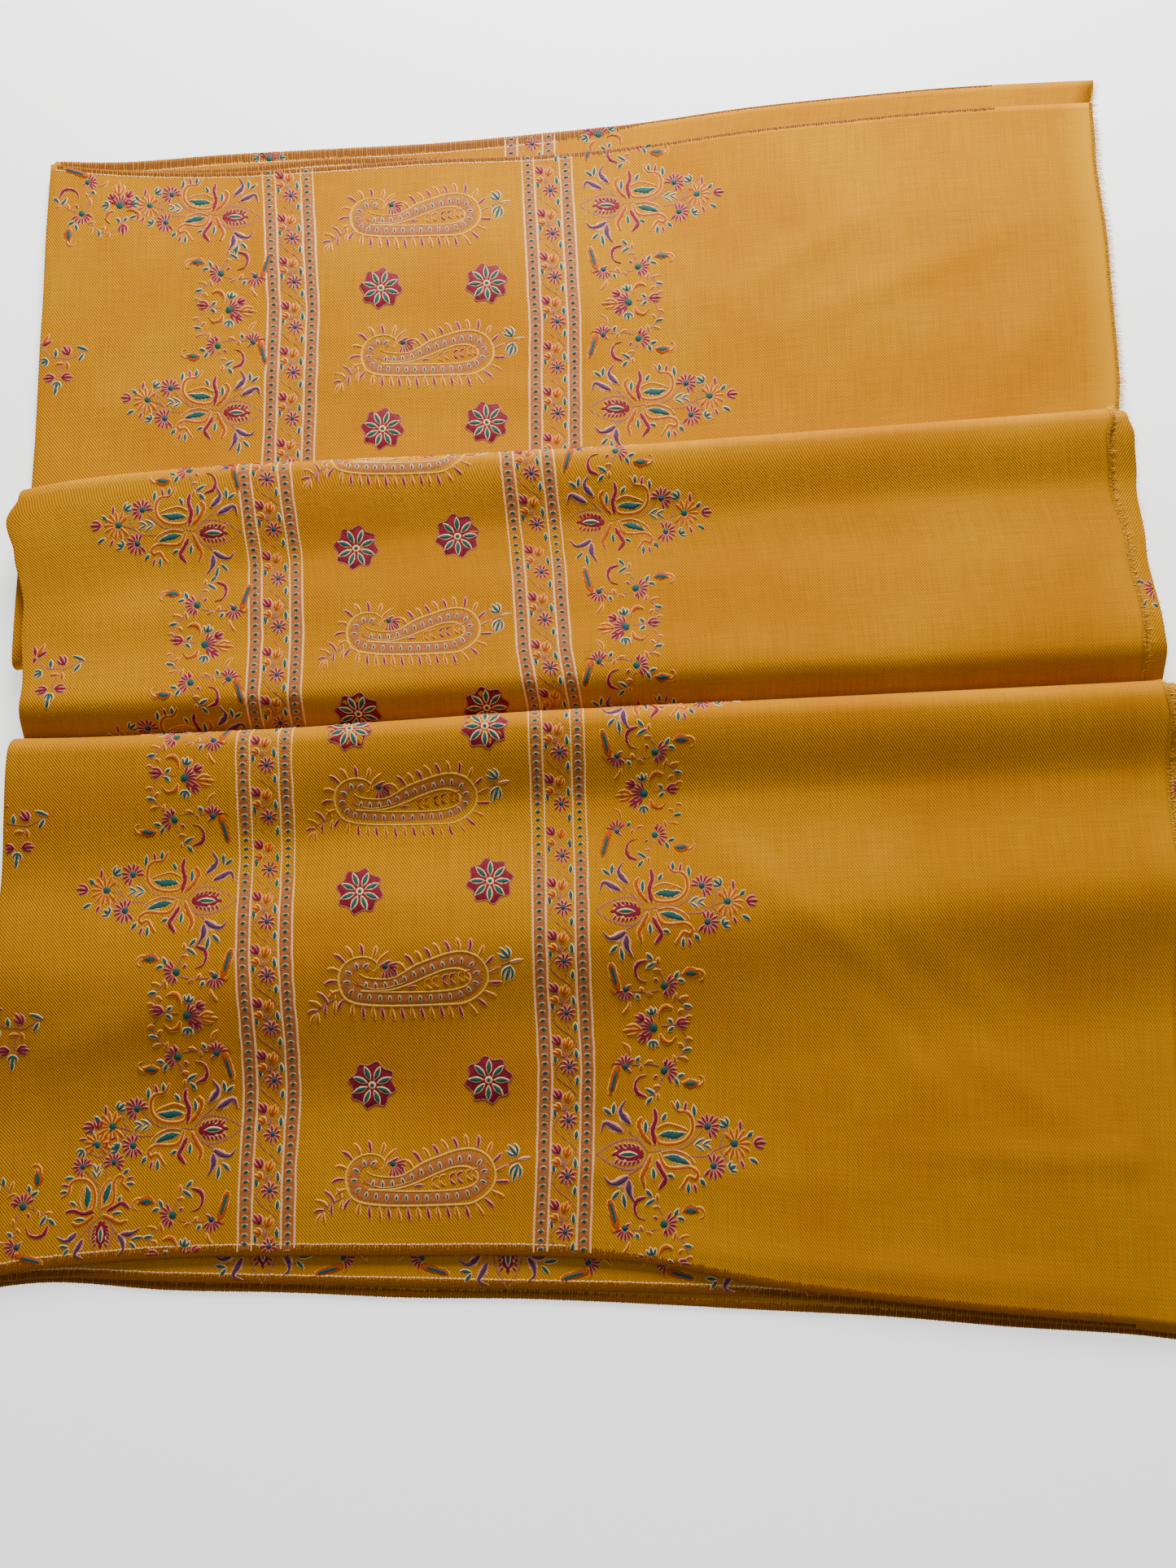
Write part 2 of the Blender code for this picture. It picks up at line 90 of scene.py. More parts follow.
# Outline from above, by x, every 50 mm
OUTLINE_START, OUTLINE_STEP = -275, 50
OUTLINE = {
    "far": (377, 372, 371, 374, 378, 380, 385, 393, 399, 404, 407, 409),
    "crest_1": (205, 214, 219, 222, 224, 227, 230, 234, 238, 242, 246, 250),
    "crest_2": (95.0, 95.5, 97.5, 100.0, 103.5, 107.0, 109.5, 112.0, 114.5, 117.0, 119.5, 122.0),
    "near": (-133, -126, -122, -121, -121, -121, -124, -133, -139, -144, -148, -153),
    "far_third": (378, 374, 375, 380, 381, 381, 385, 393, 399, 404, 407, 409),
    "far_fourth": (380, 379, 383, 386, 389, 394, 400, 408, 414, 419, 422, 424),
    "near_third": (-136.0, -130.5, -132.0, -133.0, -134.0, -135.0, -136.0, -138.0, -142.0, -147.0, -150.5,
                   -156.0),
    "near_fourth": (-138.0, -132.5, -135.5, -136.5, -138.5, -139.0, -141.0, -143.5, -146.0, -150.0, -153.0,
                    -158.0),
}

# Ends of the layers by stretch and share of the stretch: left fold, raw end, fold on the right
ENDS = (
    ("tier_1", 0.00, -256, 236, 234),
    ("tier_1", 0.15, -256, 240, 238),
    ("tier_1", 0.45, -255, 243, 241),
    ("tier_1", 0.80, -254, 244, 242),
    ("tier_1", 1.00, -254, 241, 240),
    ("crest_1", 0.00, -256, 233, 244),
    ("crest_1", 1.00, -257, 233, 246),
    ("tier_2", 0.00, -257, 233, 246),
    ("tier_2", 0.12, -261, 231, 249),
    ("tier_2", 0.28, -257, 233, 251),
    ("tier_2", 0.50, -252, 238, 255),
    ("tier_2", 0.80, -249, 244, 257),
    ("tier_2", 1.00, -250, 246, 256),
    ("crest_2", 0.00, -251, 247, 254),
    ("crest_2", 1.00, -251, 247, 255),
    ("tier_3", 0.00, -251, 247, 255),
    ("tier_3", 0.08, -251, 249, 257),
    ("tier_3", 0.45, -250, 250, 258),
    ("tier_3", 1.00, -247, 247, 255),
)

# Soft swells of the solids: tier, x, y, length, width, turn in degrees, height
SWELLS = (
    (1, -150, 320, 120, 26, 8, 0.9),
    (1, 60, 300, 150, 24, -6, 1.0),
    (1, 170, 345, 90, 30, 20, 1.0),
    (2, -120, 165, 110, 20, 4, 0.8),
    (2, 150, 170, 130, 22, 3, 1.2),
    (3, -150, -40, 110, 24, 10, 1.3),
    (3, 90, -30, 140, 26, -14, 1.6),
    (3, 200, -90, 90, 24, -24, 1.5),
    (3, -60, -95, 100, 20, 6, 0.9),
)

# Soft creases of the cloth itself, same columns
CREASES = (
    (1, 110, 335, 46, 9, 32, 0.9),
    (1, 150, 318, 52, 8, 24, 0.8),
    (1, -60, 262, 90, 8, -3, 0.5),
    (1, -190, 260, 60, 10, 12, 0.6),
    (1, -140, 286, 80, 6, 2, 0.35),
    (1, 205, 290, 40, 12, 60, 0.9),
    (2, 160, 196, 80, 9, 2, 0.5),
    (2, -180, 150, 60, 10, 8, 0.6),
    (2, 60, 132, 120, 9, -4, 0.5),
    (3, 96, 18, 52, 8, -38, 1.0),
    (3, 128, -34, 46, 8, -46, 0.8),
    (3, 165, -14, 50, 8, -42, 0.6),
    (3, 192, -58, 50, 9, -34, 0.9),
    (3, -205, -30, 46, 10, 20, 1.2),
    (3, -120, 20, 80, 9, 6, 0.6),
    (3, 30, -88, 90, 7, -3, 0.6),
    (3, 205, -82, 70, 6, -2, 0.8),
    (3, -14, -44, 62, 18, 2, 2.4),
    (3, 130, -128, 95, 7, -5, 1.0),
    (3, -150, -20, 60, 20, 0, 0.9),
)
# Distance from a crest or edge over which swells and creases fade in, and the x beyond which there are none
SWELL_CLEARANCE = 24.0
CREASE_CLEARANCE = 10.0
SWELL_REACH = 238.0

# Thickness of the cloth as it lies, and depth of the middle of each layer under the face
CLOTH_THICKNESS = 0.6
LAYER_DEPTHS = (0.3, 1.6, 2.9, 4.2)
SECOND_INSET = 1.2
# Fold at the end of two layers: its radius, and the length of cloth that the upper sheet runs on under itself
LOOP_RADIUS = 0.65
LEG = 16.0
# How far the raw yarns carry the ends on, and how far the first and last layer reach at the far corner
RAVEL = 2.2
FAR_CORNER = (4.0, 12.0)
CORNER_SHARE = 0.16
# The lower pair of layers folds inside the upper one, and wanders. Its raw end lies inside the right fold
LOW_FOLD_INSET = 0.35
LOW_FOLD_WANDER = 0.5
LOW_RAW_INSET = 2.6
# How far the left folds, the raw end and the right fold are drawn in, as (place, mm). A place is 1 at the
# first crest, 1 to 2 on the middle tier, 2 at the second crest and 2 to 3 on the near tier
DRAWN_IN = (
    ((0.99, 0.0), (1.0, 4.6), (1.2, 3.4), (1.35, 4.0), (1.6, 2.8), (1.75, 4.0), (1.87, 3.4), (2.0, 3.0),
     (2.15, 2.4), (2.4, 0.0)),
    ((1.55, 0.0), (1.8, 3.0), (1.99, 2.0), (2.0, 0.0)),
    ((0.99, 0.0), (1.0, 4.0), (1.25, 4.2), (1.43, 6.0), (1.56, 6.8), (1.79, 5.0), (1.9, 2.6), (1.99, 0.5),
     (2.0, 0.0)),
)

# Steps of the sheets along the path
STRETCH_STEPS = (
    ("tier_1", 58),
    ("under_1", 6),
    ("turn_1", 6),
    ("back_1", 6),
    ("crest_1", 16),
    ("tier_2", 48),
    ("under_2", 8),
    ("turn_2", 6),
    ("back_2", 8),
    ("crest_2", 16),
    ("tier_3", 92),
)


def smooth(t):
    """Soft step from 0 to 1."""
    t = np.clip(t, 0.0, 1.0)
    return t * t * (3 - 2 * t)


def outline(x, column):
    """Value of an outline at x, on a smooth curve through its points."""
    rows = np.array(OUTLINE[column], float)
    place = (np.asarray(x, float) - OUTLINE_START) / OUTLINE_STEP
    row = np.clip(place.astype(int), 0, len(rows) - 2)
    t = place - row
    before, a, b, after = (rows[np.clip(row + k, 0, len(rows) - 1)] for k in (-1, 0, 1, 2))
    bend = 2 * before - 5 * a + 4 * b - after, 3 * (a - b) + after - before
    return a + 0.5 * t * ((b - before) + t * (bend[0] + t * bend[1]))


def ends(stretch, along, column):
    """Where a layer ends on the left (2) or right (3: raw end, 4: fold) at a share of a stretch."""
    names = [name for name, _ in STRETCH_STEPS]
    listed = [row for row in ENDS if row[0] == stretch]
    if not listed:
        here = names.index(stretch)
        before = [row for row in ENDS if names.index(row[0]) < here][-1]
        after = [row for row in ENDS if names.index(row[0]) > here][0]
        return 0.5 * (before[column] + after[column])
    shares = [row[1] for row in listed]
    k = min(max(int(np.searchsorted(shares, along)) - 1, 0), len(listed) - 2)
    a, b = listed[k], listed[k + 1]
    return a[column] + float(smooth((along - a[1]) / (b[1] - a[1]))) * (b[column] - a[column])


def rises(table, x, y, tier, clearance):
    """Height of a table's swells of one tier, none close to a crest or an edge."""
    height = np.zeros(np.broadcast(x, y).shape)
    for _, px, py, length, width, turn_deg, rise in (row for row in table if row[0] == tier):
        turn = math.radians(turn_deg)
        dx, dy = x - px, y - py
        along = dx * math.cos(turn) + dy * math.sin(turn)
        across = dy * math.cos(turn) - dx * math.sin(turn)
        height += rise * np.exp(-((along / length) ** 2) - (across / width) ** 2)
    edges = {1: ("far", "crest_1"), 2: ("crest_1", "crest_2"), 3: ("crest_2", "near")}[tier]
    clear = np.min([np.abs(y - outline(x, edge)) for edge in edges], axis=0)
    return height * smooth(clear / clearance) * smooth((SWELL_REACH - np.abs(x)) / clearance)


def tuck_depth(x, pleat):
    """How far the pleat's inner fold lies in front of its crest."""
    share = (x - OUTLINE_START) / (OUTLINE_STEP * (len(OUTLINE["far"]) - 1))
    return TUCK_LEFT[pleat] + share * (TUCK_RIGHT[pleat] - TUCK_LEFT[pleat])


def leftness(x):
    """1 at the left folds, where the crests are lower and run out further, and 0 from the middle on."""
    return 1 - smooth((x - LEFT_START) / LEFT_LENGTH)


def crest_puff(x, pleat):
    """How far the cloth of a crest stands above the solid's."""
    return CREST_PUFF[pleat] * (1 - PUFF_LOST_LEFT * leftness(x))


def tier_form(x, y, tier):
    """Height of the face on a tier, and how far its upper layers rise or sink over the lowest one."""
    lift = rises(SWELLS, x, y, tier, SWELL_CLEARANCE) + rises(CREASES, x, y, tier, CREASE_CLEARANCE)
    if tier == 1:
        return STACK + 0 * lift, lift
    pleat = tier - 2
    radius, depth = CREST_RADIUS[pleat], tuck_depth(x, pleat)
    past = outline(x, f"crest_{pleat + 1}") - radius - y
    left = leftness(x)
    roll = 1 - smooth(past / ((RUN_IN_RADII[0] + RUN_IN_RADII[1] * left) * radius))
    if tier == 2:
        on_pleat = smooth((y - outline(x, "crest_2") - VALLEY[0]) / VALLEY[1])
    else:
        start, length = (SLOPE[0][k] + left * (SLOPE[1][k] - SLOPE[0][k]) for k in (0, 1))
        on_pleat = 1 - smooth((past + radius - depth + start) / length)
    place, width, rise, left_gain = BUMPS[pleat]
    bump = rise * (1 + left * left_gain) * np.exp(-(((past / depth - place) / width) ** 2))
    place, width, rise = DIP
    deepened = DIP_LEFT_SHARE + (1 - DIP_LEFT_SHARE) * smooth((x - DIP_START) / DIP_LENGTH)
    dip = deepened * rise * np.exp(-(((past / radius - place) / width) ** 2))
    crest_top = STACK + SEAM_GAP + 2 * radius + crest_puff(x, pleat)
    height = STACK + (RIDGE - STACK) * on_pleat + (crest_top - RIDGE) * roll + bump * on_pleat * (1 - roll)
    return height, lift - dip * on_pleat * (1 - roll)


def layer_share(depth):
    """Share of the upper layers' rise that a layer at a depth takes: 1 in the first and 0 in the last."""
    return 1 - (depth - LAYER_DEPTHS[0]) / (LAYER_DEPTHS[-1] - LAYER_DEPTHS[0])


def edge_line(x, depth, edge):
    """Selvedge of the layer at a depth: each reaches a little further than the one above it, or less."""
    columns = (edge, edge, edge + "_third", edge + "_fourth")
    inset = -SECOND_INSET if edge == "far" else SECOND_INSET
    lines = np.stack([outline(x, column) + (inset if k == 1 else 0) for k, column in enumerate(columns)])
    place = np.clip((depth - LAYER_DEPTHS[0]) / (LAYER_DEPTHS[1] - LAYER_DEPTHS[0]), 0, 2.999)
    k = place.astype(int)
    columns_here = np.arange(lines.shape[1])
    return lines[k, columns_here] + (place - k) * (lines[k + 1, columns_here] - lines[k, columns_here])


def path_row(stretch, along, x, depth):
    """Points (x, y, z) of one row across the shawl, each at its own depth under the face."""
    x, depth = np.broadcast_arrays(np.asarray(x, float), np.asarray(depth, float))
    share = layer_share(depth)
    kind, number = stretch.split("_")
    tier = int(number)
    if kind == "tier":
        if tier == 1:
            start = edge_line(x, depth, "far")
        else:
            start = outline(x, f"crest_{tier - 1}") - CREST_RADIUS[tier - 2]
        end = outline(x, f"crest_{tier}") - WALL_TUCK if tier < 3 else edge_line(x, depth, "near")
        y = start + (along if tier == 1 else along**PATH_CROWDING) * (end - start)
        height, lift = tier_form(x, y, tier)
        slope = (tier_form(x, y + 0.5, tier)[0] - tier_form(x, y - 0.5, tier)[0]) if tier > 1 else 0 * x
        norm = np.sqrt(1 + slope**2)
        return np.stack([x, y + depth * slope / norm, height - depth / norm + lift * share], -1)
    pleat = tier - 1
    crest, radius = outline(x, f"crest_{tier}"), CREST_RADIUS[pleat]
    fold = crest - tuck_depth(x, pleat)
    if kind == "under":
        start = crest - WALL_TUCK - WALL_END_GAP
        return np.stack([x, start + along * (fold - start), STACK - depth], -1)
    if kind == "back":
        return np.stack([x, fold + along * (crest - radius - fold), STACK + SEAM_GAP + depth + 0 * x], -1)
    if kind == "turn":
        turn, reach = math.radians(-90 - 180 * along), TURN_RADIUS + depth
        return np.stack([x, fold + reach * math.cos(turn), STACK + TURN_RADIUS + reach * math.sin(turn)], -1)
    turn = math.radians(-90 + 180 * along)
    reach = radius - depth
    y = crest - radius + reach * math.cos(turn)
    rise = (radius + reach * math.sin(turn)) * (1 + crest_puff(x, pleat) / (2 * radius))
    return np.stack([x, y, STACK + SEAM_GAP + rise + 0 * x], -1)


def linear(hex_colour):
    """Linear colour of an sRGB hex value."""
    parts = [int(hex_colour[k:k + 2], 16) / 255 for k in (1, 3, 5)]
    return [c / 12.92 if c <= 0.04045 else ((c + 0.055) / 1.055) ** 2.4 for c in parts]


def to_scene(points):
    """Measured points in millimetres as points of the scene in metres."""
    return (np.asarray(points, float) + (*SHIFT, 0.0)) * MM


def mesh_piece(name, points, faces, materials, inks=None, grain=None):
    """Mesh object that rides on the shawl. inks gives each face's material, and grain each point's place on
    the cloth or along its thread, in mm."""
    mesh = bpy.data.meshes.new(name)
    mesh.from_pydata(to_scene(points).tolist(), [], faces.tolist() if hasattr(faces, "tolist") else faces)
    for made in materials:
        mesh.materials.append(made)
    if inks is not None:
        mesh.polygons.foreach_set("material_index", np.asarray(inks, np.int32))
    if grain is not None:
        layer = mesh.uv_layers.new(name="grain")
        corners = np.zeros(len(mesh.loops), np.int32)
        mesh.loops.foreach_get("vertex_index", corners)
        layer.data.foreach_set("uv", (np.asarray(grain, np.float32)[corners]).ravel())
    mesh.shade_smooth()
    mesh.update()
    piece = bpy.data.objects.new(name, mesh)
    bpy.context.scene.collection.objects.link(piece)
    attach(piece, "root")
    return piece


def node(tree, kind, links=None, **settings):
    """Adds a node. links maps its inputs to sockets or values, and settings are its properties."""
    made = tree.nodes.new(kind)
    for key, value in settings.items():
        setattr(made, key, value)
    for key, value in (links or {}).items():
        if isinstance(value, bpy.types.NodeSocket):
            tree.links.new(value, made.inputs[key])
        else:
            made.inputs[key].default_value = value
    return made


def grid_faces(rows, columns):
    """Quads of a grid of points, row by row."""
    k = np.arange((rows - 1) * (columns - 1))
    row, column = k // (columns - 1), k % (columns - 1)
    a, b = row * columns + column, (row + 1) * columns + column
    return np.stack([a, a + 1, b + 1, b], -1)


def repeated_faces(pattern, times, points_each):
    """The faces of a pattern for each of many like forms that follow each other in one list of points."""
    return (pattern[None] + (np.arange(times) * points_each)[:, None, None]).reshape(-1, 4)


def all_stations():
    """Stations of the sheets along the path as (stretch, share of the stretch)."""
    found = []
    for stretch, count in STRETCH_STEPS:
        kind = stretch.split("_")[0]
        if kind in ("under", "turn", "back"):
            found += [(stretch, (k + 0.5) / count) for k in range(count)]
        else:
            found += [(stretch, k / (count if kind == "crest" else count - 1)) for k in range(count)]
    return found


def side(stretch, along, which):
    """x of a layer's end at a station: left, left_low, raw, fold on the right or raw_low."""
    wander = math.sin(2.1 * along + 1.7 * len(stretch)) * LOW_FOLD_WANDER
    corner = float(1 - smooth(along / CORNER_SHARE)) if stretch == "tier_1" else 0.0
    place = {"crest_1": 1.0, "tier_2": 1 + along, "crest_2": 2.0, "tier_3": 2 + along}.get(stretch, 0.0)
    left_in, raw_in, fold_in = (float(np.interp(place, *zip(*line))) for line in DRAWN_IN)
    left, fold = ends(stretch, along, 2) + left_in, ends(stretch, along, 4) - fold_in
    return {
        "left": left,
        "left_low": left + LOW_FOLD_INSET + wander,
        "raw": ends(stretch, along, 3) + RAVEL + FAR_CORNER[0] * corner - raw_in,
        "fold": fold,
        "raw_low": fold - LOW_RAW_INSET + RAVEL + FAR_CORNER[1] * corner,
    }[which]


# Station on the far tier whose section gives the lengths across the cloth
FLAT_STATION = 20


def layered_sheet(name, columns, cloth, thickness):
    """Thin sheet along the whole path. columns gives each point of its section as (side, offset, depth)."""
    rows = []
    for stretch, along in all_stations():
        sides = {key: side(stretch, along, key) for key in ("left", "left_low", "raw", "fold", "raw_low")}
        x = np.array([sum(sides[key] * share for key, share in mix) + offset for mix, offset, _ in columns])
        rows.append(path_row(stretch, along, x, np.array([depth for *_, depth in columns])))
    points = np.array(rows)
    steps = np.linalg.norm(np.diff(points, axis=0), axis=-1).mean(axis=1)
    along_path = np.concatenate([[0], np.cumsum(steps)])
    widths = np.linalg.norm(np.diff(points, axis=1), axis=-1)[FLAT_STATION]
    across = np.concatenate([[0], np.cumsum(widths)])
    grain = np.stack(np.broadcast_arrays(across[None, :], -along_path[:, None]), -1)
    faces = grid_faces(len(rows), len(columns))
    piece = mesh_piece(name, points.reshape(-1, 3), faces, [cloth], grain=grain.reshape(-1, 2))
    shell = piece.modifiers.new("thickness", "SOLIDIFY")
    shell.thickness = thickness
    shell.offset = 0.0
    return piece


def span(start, end, count, depth, left_reach, right_reach):
    """Columns between two sides at one depth, a reach inside each."""
    found = []
    for k in range(count):
        t = k / (count - 1)
        offset = (1 - t) * left_reach + t * right_reach
        found.append((((start, 1 - t), (end, t)), offset, depth))
    return found


def loop(side_name, from_depth, to_depth, direction):
    """Columns round a fold. direction is -1 on the left and 1 on the right."""
    middle = 0.5 * (from_depth + to_depth)
    radius = 0.5 * abs(to_depth - from_depth)
    sign = 1 if to_depth > from_depth else -1
    found = []
    for degrees in (-67.5, -45, -22.5, 0, 22.5, 45, 67.5):
        turn = math.radians(degrees)
        offset = direction * radius * (math.cos(turn) - 1)
        found.append((((side_name, 1.0),), offset, middle + sign * radius * math.sin(turn)))
    return found


# Places at which the cloth's faces are sampled: x, steps down a crest's roll, and steps along a tier
SURFACE_STEP = 2.0
SURFACE_X = np.arange(-264.0, 265.0, SURFACE_STEP)
ROLL_START = 0.2
ROLL_STEPS = 40
TIER_STEPS = 180
# Strips where a lower layer looks out: tier, edge, depth of its face, and lengths from its edge
STRIPS = {
    "third": (3, "near_third", 2.6, (-40.0, 1.0)),
    "fourth": (1, "far_fourth", 3.9, (0.0, 41.0)),
}
SURFACES = {}


def strip_face(key):
    """Lengths along a strip, and its face as points on a grid of them and of x."""
    tier, edge, depth, (first, last) = STRIPS[key]
    s = np.arange(first, last)
    y = outline(SURFACE_X, edge)[None, :] - s[:, None]
    x = SURFACE_X[None, :] + 0 * y
    lift = tier_form(x, y, tier)[1] * max(layer_share(depth + LAYER_DEPTHS[0]), 0.0)
    return s, np.stack([x, y, STACK - depth + lift], -1)


def tier_face(tier, depth):
    """Lengths down a tier from its crest's top, and a layer's face as points on a grid of them and of x."""
    roll = [] if tier == 1 else [
        (f"crest_{tier - 1}", ROLL_START + (1 - ROLL_START) * k / ROLL_STEPS) for k in range(ROLL_STEPS)]
    stations = roll + [(f"tier_{tier}", k / TIER_STEPS) for k in range(TIER_STEPS + 1)]
    rows = np.array([path_row(stretch, along, SURFACE_X, depth) for stretch, along in stations])
    steps = np.linalg.norm(np.diff(rows, axis=0), axis=-1)
    length = np.vstack([0 * SURFACE_X, np.cumsum(steps, axis=0)])
    length -= length[len(roll)]
    s = np.arange(math.ceil(length[0].max()), math.floor(length[-1].max()) + 1.0)
    columns = [[np.interp(s, length[:, k], rows[:, k, axis], right=np.nan) for axis in range(3)]
               for k in range(len(SURFACE_X))]
    return s, np.array(columns).transpose(2, 0, 1)


def surface(key):
    """First length, points and normals of a face: a tier's number, ("second", tier) for the layer under it,
    or a strip's name."""
    if key in STRIPS:
        s, points = strip_face(key)
    elif isinstance(key, tuple):
        s, points = tier_face(key[1], LAYER_DEPTHS[1] - LAYER_DEPTHS[0])
    else:
        s, points = tier_face(key, 0.0)
    normals = np.cross(np.gradient(points, axis=0), np.gradient(points, axis=1))
    return s[0], points, normals / np.linalg.norm(normals, axis=-1, keepdims=True)


def on_cloth(key, x, s, height):
    """Points of the scene over places (x, s) on a tier or strip, each its height above the cloth's face."""
    if key not in SURFACES:
        SURFACES[key] = surface(key)
    start, points, normals = SURFACES[key]
    row, column = s - start, (x - SURFACE_X[0]) / SURFACE_STEP
    row_0 = np.clip(row.astype(int), 0, len(points) - 2)
    column_0 = np.clip(column.astype(int), 0, points.shape[1] - 2)
    a, b = (row - row_0)[:, None], (column - column_0)[:, None]

    def blend(grid):
        """Values of a grid between its points."""
        upper = grid[row_0, column_0] * (1 - b) + grid[row_0, column_0 + 1] * b
        lower = grid[row_0 + 1, column_0] * (1 - b) + grid[row_0 + 1, column_0 + 1] * b
        return upper * (1 - a) + lower * a

    found = blend(points) + blend(normals) * height[:, None]
    found[(row < 0) | (row > len(points) - 1)] = np.nan
    return found


# Shape of a stitched form from its start to its end, as shares of its width
FORMS = {
    "even": (0.55, 1, 1, 1, 1, 1, 1, 0.55),
    "leaf": (0.10, 0.62, 0.93, 1, 0.9, 0.6, 0.10),
    "ray": (0.30, 0.62, 0.85, 1, 1, 0.8, 0.25),
    "comma": (0.35, 0.9, 1, 0.92, 0.66, 0.45, 0.30, 0.12),
    "drop": (0.12, 0.45, 0.75, 0.95, 1, 0.85, 0.35),
}
# Length along the cloth at which a chart is set level with the line of the cloth there
LEVEL_AT = {1: 20.0, 2: 20.0, 3: 120.0, "third": -1.0, "fourth": 1.0}
LEVEL_REACH = 25.0
# Lengths of the tiers along the cloth, and x between which a strip's needlework lies
TIER_LENGTHS = {1: 183.0, 2: 131.0, 3: 225.0}
STRIP_SIDES = (-251.0, 262.0)
# Threads: what each is, its colour and that of its shaded strands
THREAD_COLOURS = {
    "cream": ("cream pashmina thread", "#F0BE86", "#D89C62"),
    "gold": ("pale gold pashmina thread", "#E8AE4E", "#CE8E30"),
    "blush": ("peach pink pashmina thread", "#D48C72", "#B46C54"),
    "crimson": ("crimson pashmina thread", "#84162A", "#5C0C1A"),
    "teal": ("teal pashmina thread", "#22544E", "#163E3A"),
    "pink": ("dusty pink pashmina thread", "#AE6630", "#86481C"),
    "mauve": ("mauve pashmina thread", "#A2624C", "#7E4838"),
    "plum": ("plum pashmina thread", "#583650", "#3C2238"),
    "orange": ("orange pashmina thread", "#B44C00", "#8E3A00"),
    "brown": ("golden brown overcasting thread", "#804600", "#562E00"),
    "blue": ("blue pashmina thread", "#264A5A", "#183442"),
}
THREADS = tuple(THREAD_COLOURS)
# Thread of the outline round a form, by the thread of its filling. Others have cream
RIMS = {"orange": "gold", "crimson": "blush", "plum": "blush"}


def smooth_line(line, step, closed):
    """Evenly spaced points on a soft curve through the points of a line."""
    line = np.array(line, float)
    if closed:
        line = np.vstack([line, line[:1]])
    if len(line) > 2:
        padded = np.vstack([line[-2] if closed else 2 * line[0] - line[1], line,
                            line[1] if closed else 2 * line[-1] - line[-2]])
        t = np.linspace(0, 1, 9)[:-1, None]
        parts = [0.5 * (2 * b + (c - a) * t + (2 * a - 5 * b + 4 * c - d) * t**2
                        + (3 * (b - c) + d - a) * t**3)
                 for a, b, c, d in zip(padded, padded[1:], padded[2:], padded[3:])]
        line = np.vstack([*parts, line[-1:]])
    reach = np.concatenate([[0], np.cumsum(np.linalg.norm(np.diff(line, axis=0), axis=1))])
    count = max(5, int(round(reach[-1] / step)) + 1)
    places = np.linspace(0, reach[-1], count)
    return np.stack([np.interp(places, reach, line[:, axis]) for axis in (0, 1)], -1), places


def track(line):
    """Close points along a soft curve, the direction at each, and their places on it."""
    points, places = smooth_line(line, 0.4, False)
    way = np.gradient(points, axis=0)
    return points, way / np.linalg.norm(way, axis=1, keepdims=True), places


